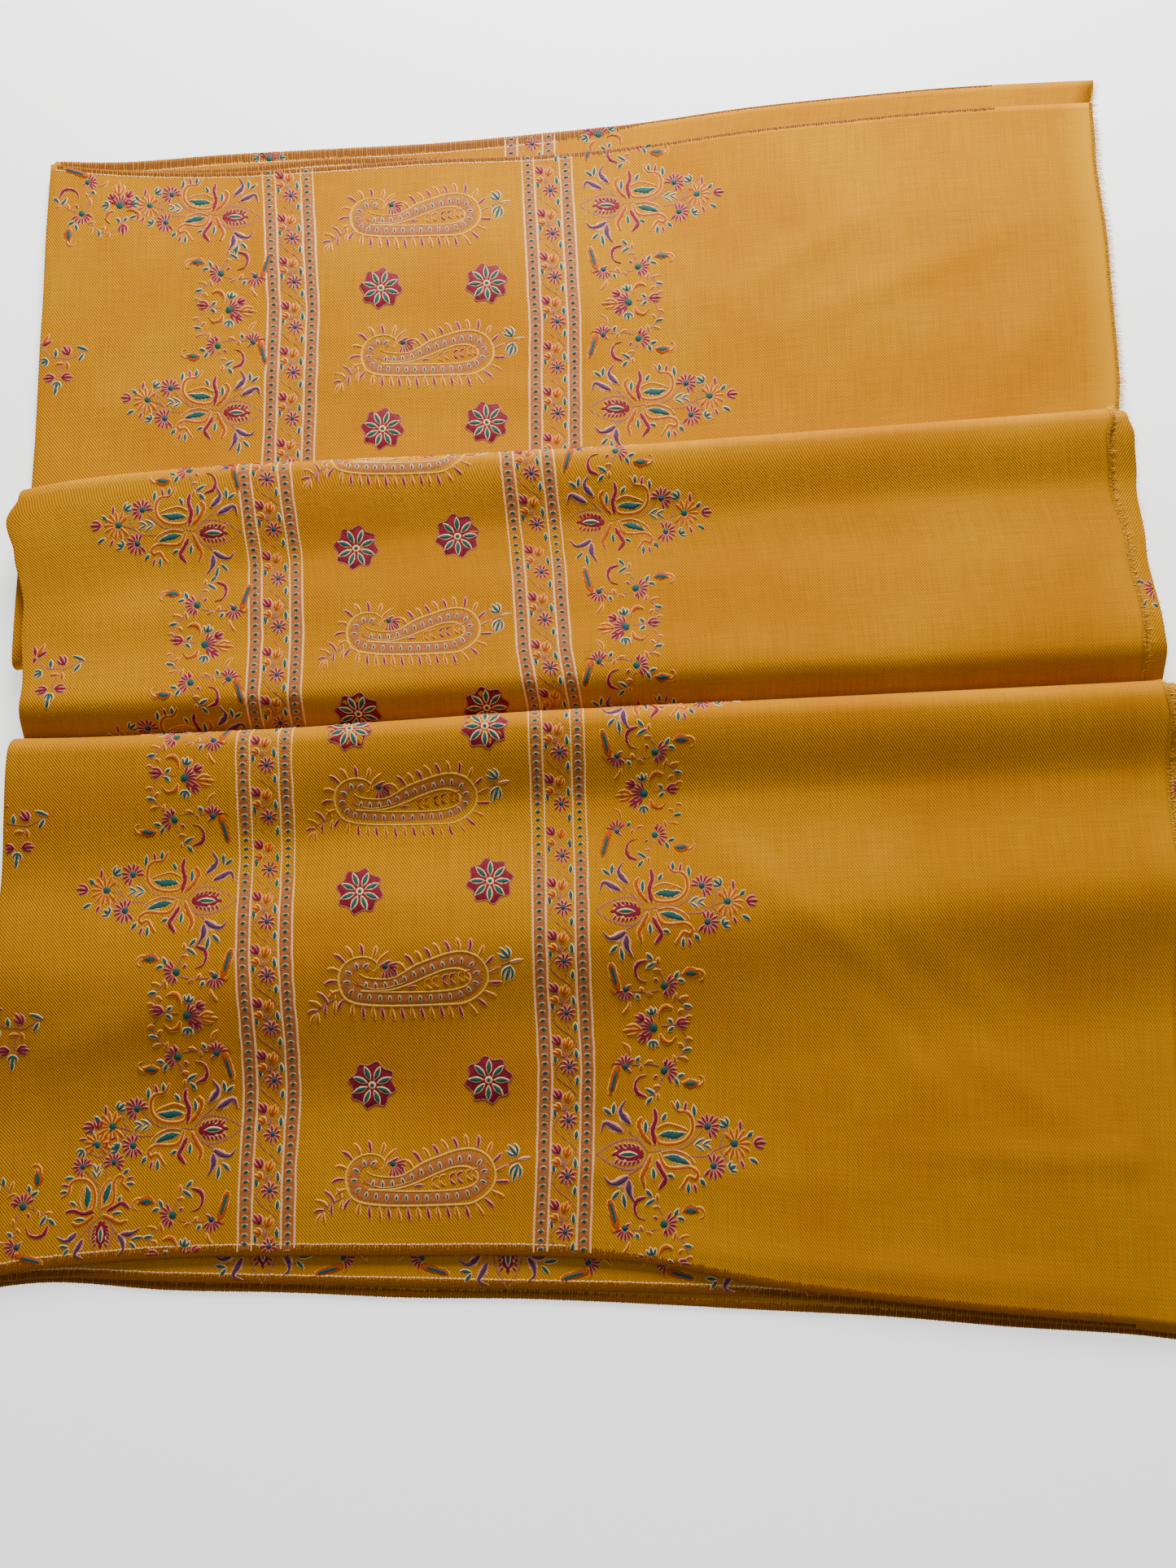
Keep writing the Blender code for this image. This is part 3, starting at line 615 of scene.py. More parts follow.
class Chart:
    """A motif worked flat. Points are u to the right, v to the near side and height over the cloth, in mm."""

    def __init__(self, seed=1):
        self.points, self.faces, self.threads, self.grain = [], [], [], []
        self.count = 0
        self.hand = np.random.default_rng(seed)

    def add(self, points, faces, thread, grain):
        """Adds a form's points, faces and grain, all in one thread."""
        self.points.append(points)
        self.faces.append(np.asarray(faces) + self.count)
        self.threads += [THREADS.index(thread)] * len(faces)
        self.grain.append(grain)
        self.count += len(points)

    def stroke(self, line, width, thread, form="even", base=-0.06, crown=0.3, closed=False, step=0.9):
        """Band of stitches along a line, rounded across, of a form's width."""
        middle, places = smooth_line(line, step, closed)
        along = np.gradient(middle, axis=0)
        if closed:
            along[0] = along[-1] = middle[1] - middle[-2]
        along /= np.linalg.norm(along, axis=1, keepdims=True) + 1e-9
        across = np.stack([-along[:, 1], along[:, 0]], -1)
        shares = np.array(FORMS[form])
        if closed:
            share = np.ones(len(places))
        else:
            share = np.interp(places / places[-1], np.linspace(0, 1, len(shares)), shares)
        half = 0.5 * width * share * (1 + 0.09 * self.hand.uniform(-1, 1, len(places)))
        half[-1] = half[0] if closed else half[-1]
        section = ((-1, 0), (0, 1), (1, 0)) if width < 1.5 else ((-1, 0), (-0.6, 0.8), (0.6, 0.8), (1, 0))
        rise = np.interp(half, (0, 0.4), (0.35, 1.0))
        flat = [np.column_stack([middle + across * (half * offset)[:, None],
                                 base + (crown - base) * up * rise]) for offset, up in section]
        grain = [np.column_stack([places, half * offset]) for offset, _ in section]
        count = len(section)
        points = np.stack(flat, 1).reshape(-1, 3)
        self.add(points, grid_faces(len(places), count), thread, np.stack(grain, 1).reshape(-1, 2))

    def shape(self, line, width, fill, rim=None, form="leaf", edge=0.42, step=0.9, base=-0.06):
        """Filled form with an outline of another thread round it, cream round most colours."""
        rim = rim or RIMS.get(fill, "cream")
        line = np.array(line, float)
        start, end = line[0] - line[1], line[-1] - line[-2]
        longer = line.copy()
        longer[0] += start / (np.linalg.norm(start) + 1e-9) * edge
        longer[-1] += end / (np.linalg.norm(end) + 1e-9) * edge
        self.stroke(longer, width + 2 * edge, rim, form, base, base + 0.3, step=step)
        self.stroke(line, width, fill, form, base + 0.17, base + 0.5, step=step)

    def leaf(self, start, end, width=1.8, fill="teal", rim=None, bend=0.0, form="leaf", edge=0.42):
        """Leaf or petal between two points, bent to one side by a share of its length."""
        start, end = np.array(start, float), np.array(end, float)
        way = end - start
        middle = (start + end) / 2 + bend * np.array([-way[1], way[0]])
        self.shape((start, middle, end), width, fill, rim, form, edge, max(0.5, np.linalg.norm(way) / 5))

    def leaves(self, pairs, width, fill="teal", edge=0.42):
        """Leaves or petals of one kind, each between two points."""
        for start, end in pairs:
            self.leaf(start, end, width, fill, edge=edge)

    def rays(self, centre, inner, outer, start, stop, count, fill="crimson", width=1.15, rim=None):
        """Rays of a flower between two directions in degrees, 0 to the right and 90 towards the near side."""
        for k in range(count):
            share = (k + 0.5) / count
            turn = math.radians(start + (stop - start) * share + self.hand.uniform(-2, 2))
            reach = outer * (1 + 0.07 * self.hand.uniform(-1, 1))
            way = np.array([math.cos(turn), math.sin(turn)])
            self.shape((centre + inner * way, centre + reach * way), width, fill, rim, "ray", 0.28, 1.2)

    def disc(self, centre, radius, thread, base=0.05, crown=0.45):
        """Small round knot of satin stitches."""
        turns = np.arange(8) * math.tau / 8
        rings = [(centre[0], centre[1], crown)]
        for share, up in ((0.65, 0.85), (1.0, 0.0)):
            rings += [(centre[0] + radius * share * math.cos(t), centre[1] + radius * share * math.sin(t),
                       base + (crown - base) * up) for t in turns]
        faces = [(0, 1 + k, 1 + (k + 1) % 8, 1 + (k + 1) % 8) for k in range(8)]
        faces += [(1 + k, 9 + k, 9 + (k + 1) % 8, 1 + (k + 1) % 8) for k in range(8)]
        points = np.array(rings)
        self.add(points, faces, thread, points[:, :2] - centre)

    def vine(self, *line, thread="mauve", width=0.85):
        """Thin stem in stem stitch."""
        self.stroke(line, width, thread, crown=0.2)

    def bud(self, base, tip, fill="crimson", spread=1.5, rim=None):
        """Three-part bud: two side petals and a pointed middle."""
        base, tip = np.array(base, float), np.array(tip, float)
        way = tip - base
        side = np.array([-way[1], way[0]]) / (np.linalg.norm(way) + 1e-9)
        for sign in (-1, 1):
            self.leaf(base, base + way * 0.78 + side * sign * spread, 1.35, fill, rim, bend=0.16 * sign,
                      edge=0.36)
        self.leaf(base, tip, 1.5, fill, rim, edge=0.36)


class Needlework:
    """Charts laid on the cloth and joined into one mesh."""

    def __init__(self):
        self.points, self.faces, self.threads, self.grain = [], [], [], []
        self.count = 0

    def lay(self, chart, key, x, s, turn=0.0, size=1.0, mirror=(1, 1), level=True):
        """Lays a chart with its origin at (x, s), turned clockwise as seen from above."""
        points = np.vstack(chart.points)
        u, v = points[:, 0] * mirror[0] * size, points[:, 1] * mirror[1] * size
        angle = math.radians(turn)
        u, v = u * math.cos(angle) - v * math.sin(angle), u * math.sin(angle) + v * math.cos(angle)
        if level:
            here = on_cloth(key, np.array([x - LEVEL_REACH, x + LEVEL_REACH]), np.full(2, LEVEL_AT[key]),
                            np.zeros(2))
            v = v + u * (here[1, 1] - here[0, 1]) / (2 * LEVEL_REACH)
        self.put(chart, key, x + u, s + v, points[:, 2])

    def put(self, chart, key, x, s, height):
        """Adds a chart's faces at given places, without those past the cloth's folds and ends."""
        placed = on_cloth(key, x, s, height)
        left, right = self.sides(key, s)
        good = ~np.isnan(placed).any(-1) & (x > left) & (x < right)
        faces = np.vstack(chart.faces)
        kept = good[faces].all(axis=1)
        self.points.append(np.nan_to_num(placed))
        self.faces.append(faces[kept] + self.count)
        self.threads.append(np.array(chart.threads)[kept])
        self.grain.append(np.vstack(chart.grain))
        self.count += len(placed)

    @staticmethod
    def sides(key, s):
        """Left and right ends of the face at a length along the cloth."""
        if key in STRIPS:
            return tuple(end + 0 * s for end in STRIP_SIDES)
        tier, names = (key[1], ("raw", "fold")) if isinstance(key, tuple) else (key, ("left", "raw"))
        shares = np.linspace(0, 1, 21)
        here = np.clip(s / TIER_LENGTHS[tier], 0, 1)
        left, right = (np.interp(here, shares, [side(f"tier_{tier}", t, name) for t in shares])
                       for name in names)
        return left + LOOP_RADIUS + 0.15, right - 0.3

    def finish(self, name, colours):
        """Mesh of all that was laid, without points that no face uses."""
        points, faces = np.vstack(self.points), np.vstack(self.faces)
        threads, grain = np.concatenate(self.threads), np.vstack(self.grain)
        used, places = np.unique(faces, return_inverse=True)
        faces = places.reshape(faces.shape)
        quads = [tuple(dict.fromkeys(face)) for face in faces.tolist()]
        slots = np.unique(threads)
        inks = np.searchsorted(slots, threads)
        return mesh_piece(name, points[used], quads, [colours[THREADS[k]] for k in slots], inks, grain[used])


def paisley_chart():
    """Paisley: a bordered hooked body with a teardrop in it, hairs of leaves all round, a fern and a sprig."""
    c = Chart(11)
    outer = ((-16.2, -4.4), (-13.7, -6.4), (-16.2, -9.4), (-20.2, -10.4), (-24.9, -9.4), (-28.6, -6.4),
             (-30.2, -2.0), (-29.7, 2.7), (-27.6, 6.7), (-23.6, 8.8), (-16.2, 9.8), (-6.7, 10.0), (3.4, 9.8),
             (13.5, 9.4), (20.9, 8.8), (26.3, 6.1), (30.0, 2.0), (31.1, -2.7), (29.7, -7.4), (26.3, -11.1),
             (20.9, -12.8), (14.8, -12.1), (8.1, -9.8), (1.3, -7.1), (-4.0, -3.7), (-8.1, -1.7),
             (-13.5, -1.3), (-18.9, -2.0), (-21.7, -3.5))
    middle = ((-18.2, -4.6), (-19.5, -7.3), (-22.8, -6.7), (-25.6, -4.6), (-26.8, -1.2), (-26.4, 1.7),
              (-24.6, 4.4), (-21.6, 5.7), (-17.2, 6.3), (-12.9, 6.7), (-8.4, 6.9), (-4.2, 6.7), (0.8, 6.9),
              (4.7, 6.6), (8.9, 6.3), (12.8, 6.1), (17.2, 5.5), (20.6, 4.4), (24.3, 2.2), (26.3, -0.3),
              (26.4, -4.0), (24.4, -7.5), (20.6, -9.0), (16.3, -8.8), (12.0, -7.4), (7.8, -6.1), (3.2, -4.4),
              (-0.9, -2.6), (-4.7, -0.8), (-8.2, 0.7), (-12.0, 1.3), (-15.8, 1.5), (-19.3, 1.2),
              (-22.8, 0.0))
    inner = ((-21.6, 3.7), (-13.5, 3.7), (-6.7, 2.7), (0.0, 0.3), (6.7, -2.7), (13.5, -5.3), (18.9, -5.7),
             (22.9, -4.0), (23.9, -1.3), (22.2, 1.3), (17.5, 3.0), (10.1, 3.9), (0.0, 4.2), (-8.1, 4.2))
    c.stroke(middle, 5.2, "pink", base=-0.06, crown=0.16, step=1.2)
    c.stroke(outer, 0.9, "gold", base=0.02, crown=0.36)
    c.stroke(inner, 0.75, "gold", base=0.02, crown=0.34, closed=True)
    c.stroke(((-21.9, 0.7), (-16.2, 2.7), (-10.1, 2.2), (-2.7, 0.0)), 0.6, "gold", base=0.02, crown=0.32)
    points, way, places = track(middle)
    for reach in np.arange(2.2, places[-1] - 1.0, 4.15):
        k = int(np.searchsorted(places, reach))
        across = np.array([-way[k, 1], way[k, 0]])
        c.leaf(points[k] - across * 1.2, points[k] + across * 1.2, 1.2)
    points, way, places = track(outer)
    for hair, reach in enumerate(np.arange(3.4, places[-1] - 16.5, 3.95)):
        k = int(np.searchsorted(places, reach))
        out = np.array([-way[k, 1], way[k, 0]])
        start = points[k] + out * 0.7
        tip = start + (out + way[k] * 0.22) * (4.6 + 0.5 * c.hand.uniform(-1, 1))
        c.leaf(start, tip, 1.2, ("crimson", "orange")[hair % 2], form="ray", bend=0.05)
    c.leaf((-1.9, 2.1), (1.5, 1.7), 0.9, "crimson")
    for x, y, fill in ((5.4, 0.7, "orange"), (8.4, -0.1, "orange"), (12.5, -0.8, "crimson"),
                       (15.5, -1.5, "crimson"), (19.2, -2.3, "orange"), (21.6, -2.7, "orange")):
        c.leaf((x, y), (x + 2.0, y - 2.4), 0.8, fill, bend=-0.2, edge=0.34)
        c.leaf((x, y), (x + 2.3, y + 1.9), 0.8, fill, bend=0.2, edge=0.34)
    c.rays(np.array((-11.1, -6.7)), 1.6, 5.2, -25, 110, 7, "crimson", 0.95)
    c.disc((-11.1, -6.7), 1.3, "teal")
    c.shape(((-9.8, -12.5), (-13.5, -8.8), (-14.5, -5.7), (-16.0, -2.2)), 1.1, "orange", form="comma")
    c.vine((-30.7, 6.7), (-34.4, 8.4), (-38.1, 10.8), (-40.4, 14.8))
    for a, b, fill in (((-31.7, 7.4), (-33.7, 3.4), "orange"), ((-34.4, 8.8), (-38.8, 4.0), "crimson"),
                       ((-37.1, 10.4), (-42.1, 7.8), "orange"), ((-38.8, 11.8), (-42.8, 12.5), "crimson"),
                       ((-35.4, 9.1), (-35.4, 13.8), "crimson"), ((-39.4, 13.1), (-41.8, 17.5), "orange"),
                       ((-38.8, 12.8), (-38.3, 16.9), "orange"), ((-31.3, 7.8), (-31.7, 12.5), "orange")):
        c.leaf(a, b, 0.95, fill, bend=0.08)
    c.vine((31.1, -5.3), (35.0, -6.7), (40.4, -8.8))
    c.bud((39.8, -10.4), (36.1, -14.5), "teal", 2.2)
    c.bud((40.4, -7.1), (38.1, 0.0), "teal", 1.8)
    c.leaf((40.4, -8.8), (45.2, -9.8), 0.8, "mauve")
    return c


def star_chart():
    """Eight-petalled flower: a crimson star with a mauve rim, teal petals outlined in cream, and an eye."""
    c = Chart(5)
    rim = []
    for k in range(16):
        reach, turn = (10.3 if k % 2 else 8.5), (k + 0.5) * math.tau / 16
        rim.append((reach * math.cos(turn), reach * math.sin(turn)))
    points = [(0, 0, 0.1)]
    for share, up in ((0.5, 0.1), (0.97, 0.1), (1.0, -0.06)):
        points += [(x * share, y * share, up) for x, y in rim]
    faces = [(0, 1 + k, 1 + (k + 1) % 16, 1 + (k + 1) % 16) for k in range(16)]
    for ring in (1, 17):
        faces += [(ring + k, ring + 16 + k, ring + 16 + (k + 1) % 16, ring + (k + 1) % 16) for k in range(16)]
    points = np.array(points)
    c.add(points, faces, "crimson", points[:, :2])
    c.stroke([(x * 0.99, y * 0.99) for x, y in rim], 0.8, "mauve", crown=0.3, closed=True)
    for k in range(8):
        turn = (k + 1) * math.tau / 8
        way = np.array([math.cos(turn), math.sin(turn)])
        c.shape((2.6 * way, 5.5 * way, 8.3 * way), 1.9, "teal", edge=0.5, step=1.0, base=0.05)
    c.disc((0, 0), 1.75, "cream", 0.1, 0.34)
    c.disc((0, 0), 1.0, "teal", 0.25, 0.5)
    return c


def cone_chart():
    """Pointed bouquet that stands on a band: artichoke, commas at its foot, hooked paisleys and flowers."""
    c = Chart(7)
    for sign in (-1, 1):
        c.stroke(((-0.6, 1.2), (4.8, 1.2 + 3.5 * sign), (10.6, 1.2 + 5.7 * sign), (15.8, 1.2 + 5.2 * sign),
                  (19.0, 1.2 + 2.2 * sign), (19.6, 1.2)), 1.1, "mauve", crown=0.16)
    heart = ((5.4, 1.3), (8.5, 1.1), (13.0, 1.2), (18.0, 1.3))
    c.stroke(heart, 7.4, "cream", "drop", -0.06, 0.14)
    for k in range(6):
        t = k / 5
        for sign in (-1, 1):
            wide = 1.2 + sign * (1.9 + 1.4 * math.sin(0.4 + t * 2.3))
            c.leaf((8.0 + 8.4 * t, wide - 0.6 * sign), (6.6 + 8.6 * t, wide + 1.0 * sign), 1.2, "crimson",
                   edge=0.22)
    c.stroke(heart, 6.4, "crimson", "drop", -0.02, 0.24)
    c.shape(((8.6, 1.3), (11.9, 1.2), (15.2, 1.3)), 1.6, "teal", edge=0.5, base=0.2)
    for line in (((12.8, -10.5), (10.7, -12.5), (8.9, -15.6), (10.7, -19.5)),
                 ((9.6, -7.5), (6.3, -9.1), (2.7, -10.9), (1.2, -7.2)),
                 ((11.7, 9.7), (8.5, 11.8), (4.9, 12.3), (2.7, 9.8)),
                 ((12.2, 11.2), (12.1, 15.2), (13.4, 17.9), (14.8, 19.8))):
        c.stroke(line, 4.2, "cream", "comma", -0.07, 0.16)
        c.shape(line, 2.2, "plum", "blush", "comma", 0.6, base=0.02)
    c.vine((19.2, -0.4), (16.5, -4.0), (13.0, -6.7), (10.7, -8.8))
    c.vine((18.8, 3.6), (15.6, 6.7), (12.5, 8.5), (11.4, 9.8))
    c.leaves((((5.4, -13.9), (2.2, -16.5)), ((6.0, -14.1), (6.5, -18.6)), ((8.5, 15.2), (5.4, 18.3)),
              ((9.8, 16.1), (10.7, 21.9)), ((18.8, -6.7), (19.0, -11.6)), ((25.5, -11.6), (27.1, -14.5)),
              ((21.7, 6.3), (22.1, 10.7)), ((27.3, 8.9), (29.9, 10.0)), ((31.7, -15.9), (31.6, -19.5)),
              ((38.4, -13.4), (38.0, -17.7)), ((35.6, 12.1), (35.5, 16.3)), ((40.2, 10.5), (42.3, 13.2)),
              ((59.0, -4.9), (61.4, -7.3)), ((59.9, 2.9), (63.2, 4.9))), 1.6, edge=0.38)
    for line, fill, width in ((((21.0, -2.7), (17.9, -6.1), (16.1, -10.3), (17.4, -12.7)), "orange", 1.5),
                              (((22.6, -2.7), (21.7, -8.0), (23.0, -12.5), (22.4, -16.3)), "crimson", 1.5),
                              (((21.0, 1.8), (19.2, 5.8), (17.3, 9.8), (18.3, 13.6)), "orange", 1.5),
                              (((23.0, 3.8), (25.0, 7.6), (26.6, 10.7), (24.1, 14.3)), "crimson", 1.5)):
        c.shape(line, width + 0.15, fill, form="even", edge=0.36)
    c.shape(((24.2, -6.1), (27.3, -6.3), (30.8, -6.0), (34.6, -6.9)), 3.0, "teal", edge=0.5)
    c.shape(((26.2, 2.0), (29.9, 2.7), (33.5, 3.8), (36.2, 4.9)), 2.7, "teal", edge=0.5)
    for line in (((22.8, -6.1), (24.1, -3.1), (29.5, -2.5), (34.4, -4.0), (37.3, -7.6), (37.3, -12.1),
                  (35.3, -14.8), (31.3, -15.4), (29.1, -19.0)),
                 ((24.1, 0.9), (26.4, 5.8), (30.8, 6.7), (36.2, 6.3), (39.3, 8.5), (38.4, 10.7), (35.8, 9.8),
                  (34.4, 11.8), (32.5, 14.1))):
        c.shape(line, 1.4, "orange", form="even", edge=0.38)
    c.shape(((23.7, -8.8), (27.3, -10.3), (30.8, -9.7), (35.3, -8.0)), 0.8, "orange", form="even", edge=0.35)
    c.shape(((25.5, 0.4), (30.8, 0.0), (35.8, 2.2), (38.0, 4.5)), 0.8, "orange", form="even", edge=0.35)
    c.leaves((((34.4, -15.4), (35.1, -19.0)), ((37.8, 12.5), (38.7, 15.6))), 1.2, "crimson")
    for centre, start, stop in (((43.5, -9.4), -190, 90), ((45.6, 5.7), -130, 150)):
        c.rays(np.array(centre), 1.6, 4.9, start, stop, 10, "crimson", 1.2)
        c.disc(centre, 1.4, "blue")
    c.rays(np.array((54.3, -2.7)), 1.7, 6.3, -150, 150, 11, "orange", 1.4)
    c.disc((53.9, -2.7), 1.6, "teal")
    for base, tip, spread in (((38.2, -2.4), (42.0, -2.4), 2.4), ((41.4, -2.5), (44.8, -2.5), 1.6)):
        for sign in (-1, 1):
            c.leaf(base, (tip[0], tip[1] + sign * spread), 1.1)
    c.vine((20.1, 0.4), (26.4, -0.4), (33.5, -1.1), (38.4, -4.5), (41.6, -8.2))
    c.vine((28.2, -0.2), (35.3, 1.8), (43.4, 1.8), (46.9, -0.7), (53.2, -2.7))
    c.vine((47.8, -1.1), (49.4, -5.4), (50.2, -9.4))
    c.vine((47.8, -0.7), (50.5, 2.7), (52.6, 5.8))
    c.bud((51.4, -9.4), (48.3, -12.1), "teal", 2.0)
    c.bud((51.9, 7.0), (54.5, 5.5), "teal", 2.2)
    c.leaves((((56.5, -8.0), (56.5, -11.6)), ((56.3, 3.6), (57.5, 6.4))), 1.3, "crimson")
    c.bud((61.7, -2.7), (66.6, -3.0), "crimson", 1.9)
    return c


def half_group_chart():
    """Half of the group between two pointed bouquets: long leaf, crescent, half-flowers, hooked bud, vine."""
    c = Chart(9)
    c.shape(((-18.0, -27.6), (-17.0, -23.7), (-15.9, -19.7), (-14.6, -15.9)), 2.9, "orange", form="even",
            base=-0.1)
    c.stroke(((-17.7, -26.4), (-16.8, -23.2), (-15.6, -18.6)), 1.6, "teal", "even", 0.22, 0.52)
    c.stroke(((-14.8, -16.1), (-16.5, -14.6), (-17.9, -16.4)), 0.8, "orange", "comma", crown=0.34)
    c.rays(np.array((-11.6, -16.1)), 1.3, 4.6, 30, 175, 6, "crimson", 1.15)
    c.leaf((-11.6, -17.0), (-9.4, -18.3), 0.9, "crimson")
    c.disc((-11.6, -16.4), 1.3, "blue")
    c.leaf((-9.8, -11.0), (-12.7, -6.5), 1.2, "orange", bend=-0.15)
    c.shape(((-3.1, -28.9), (-6.7, -27.3), (-7.6, -23.9), (-6.1, -20.8), (-3.1, -19.8)), 1.6, "crimson",
            form="comma", edge=0.4)
    c.vine((-1.8, -28.6), (1.3, -26.8), (3.1, -23.2), (4.6, -19.7))
    c.leaves((((-0.4, -29.1), (-2.9, -31.9)), ((0.9, -28.0), (-3.1, -25.5)), ((8.9, -21.0), (10.7, -24.1)),
              ((10.3, -20.6), (13.2, -19.7)), ((-7.2, -14.3), (-5.8, -12.2)), ((12.7, -9.6), (16.3, -8.9))),
             1.6, edge=0.38)
    c.leaves((((1.8, -27.7), (2.0, -30.1)), ((2.9, -24.6), (0.2, -24.8)), ((-4.5, -15.5), (-5.5, -17.3)),
              ((-3.1, -14.9), (-0.4, -14.0)), ((9.8, -14.8), (8.5, -11.6)), ((11.2, -12.5), (14.8, -13.4)),
              ((10.7, -6.7), (12.7, -7.8)), ((13.9, -4.5), (16.3, -4.9))), 1.3, "orange", 0.36)
    c.leaves((((1.8, -20.1), (0.4, -21.0)), ((5.4, -15.8), (4.6, -14.0))), 1.3, "crimson", 0.36)
    c.rays(np.array((5.1, -18.0)), 1.7, 5.0, -75, 95, 7, "crimson", 1.2)
    c.disc((4.6, -18.0), 1.6, "teal")
    c.shape(((17.6, -24.6), (20.0, -24.2), (21.4, -22.6), (21.0, -20.8), (19.6, -20.3)), 1.1, "orange",
            form="comma")
    c.shape(((12.4, -23.1), (14.6, -23.7), (17.0, -23.7), (19.4, -22.7)), 4.2, "orange", base=-0.1)
    c.stroke(((13.3, -23.3), (15.4, -23.6), (18.3, -23.0)), 2.5, "teal", "leaf", 0.22, 0.52)
    c.vine((-8.9, -15.6), (-5.4, -15.5), (-1.8, -15.2), (2.7, -16.1))
    c.vine((6.7, -16.5), (9.8, -13.1), (13.2, -9.8), (14.5, -4.9), (12.5, -1.7))
    return c


def bouquet_chart():
    """Small bouquet in the middle of a group: a fan of rays, two curls and a bud on the vine."""
    c = Chart(13)
    c.rays(np.array((0.4, 0.1)), 1.8, 5.6, 105, 262, 8, "crimson", 1.2)
    c.disc((0.0, 0.1), 1.9, "teal")
    for line in (((7.9, -8.3), (4.9, -8.9), (2.7, -6.3), (2.9, -3.1)),
                 ((3.0, 2.7), (4.0, 5.4), (7.2, 6.3), (9.7, 3.8))):
        c.shape(line, 1.8, "orange", form="comma", edge=0.4)
    c.bud((-0.4, -5.4), (-1.1, -8.9), "teal", 1.9)
    c.bud((-0.2, 5.4), (0.2, 8.9), "teal", 1.9)
    c.bud((-4.0, -3.1), (-7.6, -5.1), "crimson", 1.6)
    c.bud((-3.1, 3.6), (-6.3, 5.4), "crimson", 1.6)
    c.bud((-4.9, 0.9), (-12.5, 1.1), "orange", 1.9)
    c.vine((3.6, -0.8), (6.3, -0.9), (9.8, -1.5), (12.5, -1.7))
    c.leaves((((8.2, -2.1), (6.3, -3.8)), ((8.8, -0.4), (6.4, 1.5))), 1.6, edge=0.38)
    c.bud((9.7, -1.7), (15.4, -2.2), "crimson", 1.7)
    return c


# Patterns of the cloth in waves for each mm. The ribs wander over 17 mm, a slub is 20 mm long and 0.6 mm
# thick, the nap stands in tufts of half a millimetre, and the dye took unevenly over 80 mm
WOBBLE_PER_MM = 0.06
WARP_PER_MM = (0.05, 1.6, 1.0)
WEFT_PER_MM = (1.3, 0.04, 1.0)
NAP_PER_MM = 2.2
DYE_PER_MM = 0.012
RIB_WANDER = 1.1
RIB_RELIEF = 0.26
# Strands of the embroidery thread, 0.3 mm wide and 2 mm long, and how far they lean from the form's length
STRANDS_PER_MM = (3.4, 0.5, 1.0)
STRAND_LEAN = 0.35
STRAND_RELIEF = 0.14
# Lengths down the cloth, counted below zero, over which the paler strip beside the raw end goes from full
# strength on the far tier to a fifth of it further on
FADE_FROM, FADE_TO = -185.0, -160.0


def length_setting(name, description, default_mm):
    """Setting of a length, whose default is given in mm."""
    return bpy.props.FloatProperty(
        name=name, description=description, default=default_mm * MM, unit="LENGTH", precision=5)


def colour_setting(name, description, default_hex):
    """Setting of a colour, whose default is given as sRGB hex."""
    return bpy.props.FloatVectorProperty(
        name=name, description=description, default=linear(default_hex), subtype="COLOR", min=0, max=1)


def in_mm(setting):
    """Length setting in mm, without the last digits of its 32-bit number."""
    return round(setting / MM, 4)


class ShawlCloth(bpy.types.PropertyGroup):
    """Sizes and colours of the cloth"""

    rib_across: length_setting("Rib across", "Distance between the twill's ribs across the shawl", 1.28)
    rib_along: length_setting("Rib along", "Distance between the twill's ribs along its folds", 1.66)
    thickness: length_setting("Thickness", "Thickness of the cloth as it lies", CLOTH_THICKNESS)
    wool: colour_setting("Wool", "Colour of the cloth", "#bf7800")
    wool_pale: colour_setting("Paler wool", "Colour of the cloth where the dye took less", "#cb8b04")
    # Painted shade: this deeper colour darkens the grooves between the twill's ribs, on top of their bump, and
    # also gives the uneven yarn's darker streaks, which are the wool's own
    wool_deep_and_groove_shade: colour_setting("Deeper wool and groove shade", "Colour between the ribs and yarns", "#8a5300")
    wool_raw_end: colour_setting("Wool at the raw end", "Colour of the cloth beside its raw end", "#d89c08")
    nap: colour_setting("Nap", "Colour of the light that the nap catches", "#e0a020")


class ShawlThreads(bpy.types.PropertyGroup):
    """Colour of each embroidery thread, and of its shaded strands"""

    __annotations__ = {
        **{key: colour_setting(kind.capitalize(), f"Colour of the {kind}", colour)
           for key, (kind, colour, _) in THREAD_COLOURS.items()},
        **{key + "_deep": colour_setting(f"{kind.capitalize()}, shaded", f"Shaded strands of the {kind}", deep)
           for key, (kind, _, deep) in THREAD_COLOURS.items()},
    }


class ShawlEdges(bpy.types.PropertyGroup):
    """Sizes of the overcasting, and sizes and colours of the frayed yarns"""

    stitch_pitch: length_setting("Stitch pitch", "Distance between overcasting stitches", 1.12)
    yarn_length: length_setting("Yarn length", "Usual length of the frayed yarns", 3.2)
    yarn_pitch: length_setting("Yarn pitch", "Distance between frayed yarns of the top layer", 0.22)
    # Painted light: both yarn colours are lighter than the wool's own, to lift the shade the crowded yarns
    # cast on each other, and the tip's is a painted halo on the loose fibres
    yarn_root: colour_setting("Yarn at its root", "Colour of a frayed yarn beside the cloth", "#e09e14")
    yarn_tip: colour_setting("Yarn at its tip", "Colour of a frayed yarn's loose fibres", "#f0c468")


def woolen(name):
    """New material with its node tree and shader, and the place on the cloth or along the thread in mm."""
    made = bpy.data.materials.new(name)
    made.use_nodes = True
    place = node(made.node_tree, "ShaderNodeUVMap", uv_map="grain").outputs[0]
    return made, made.node_tree, made.node_tree.nodes["Principled BSDF"], place


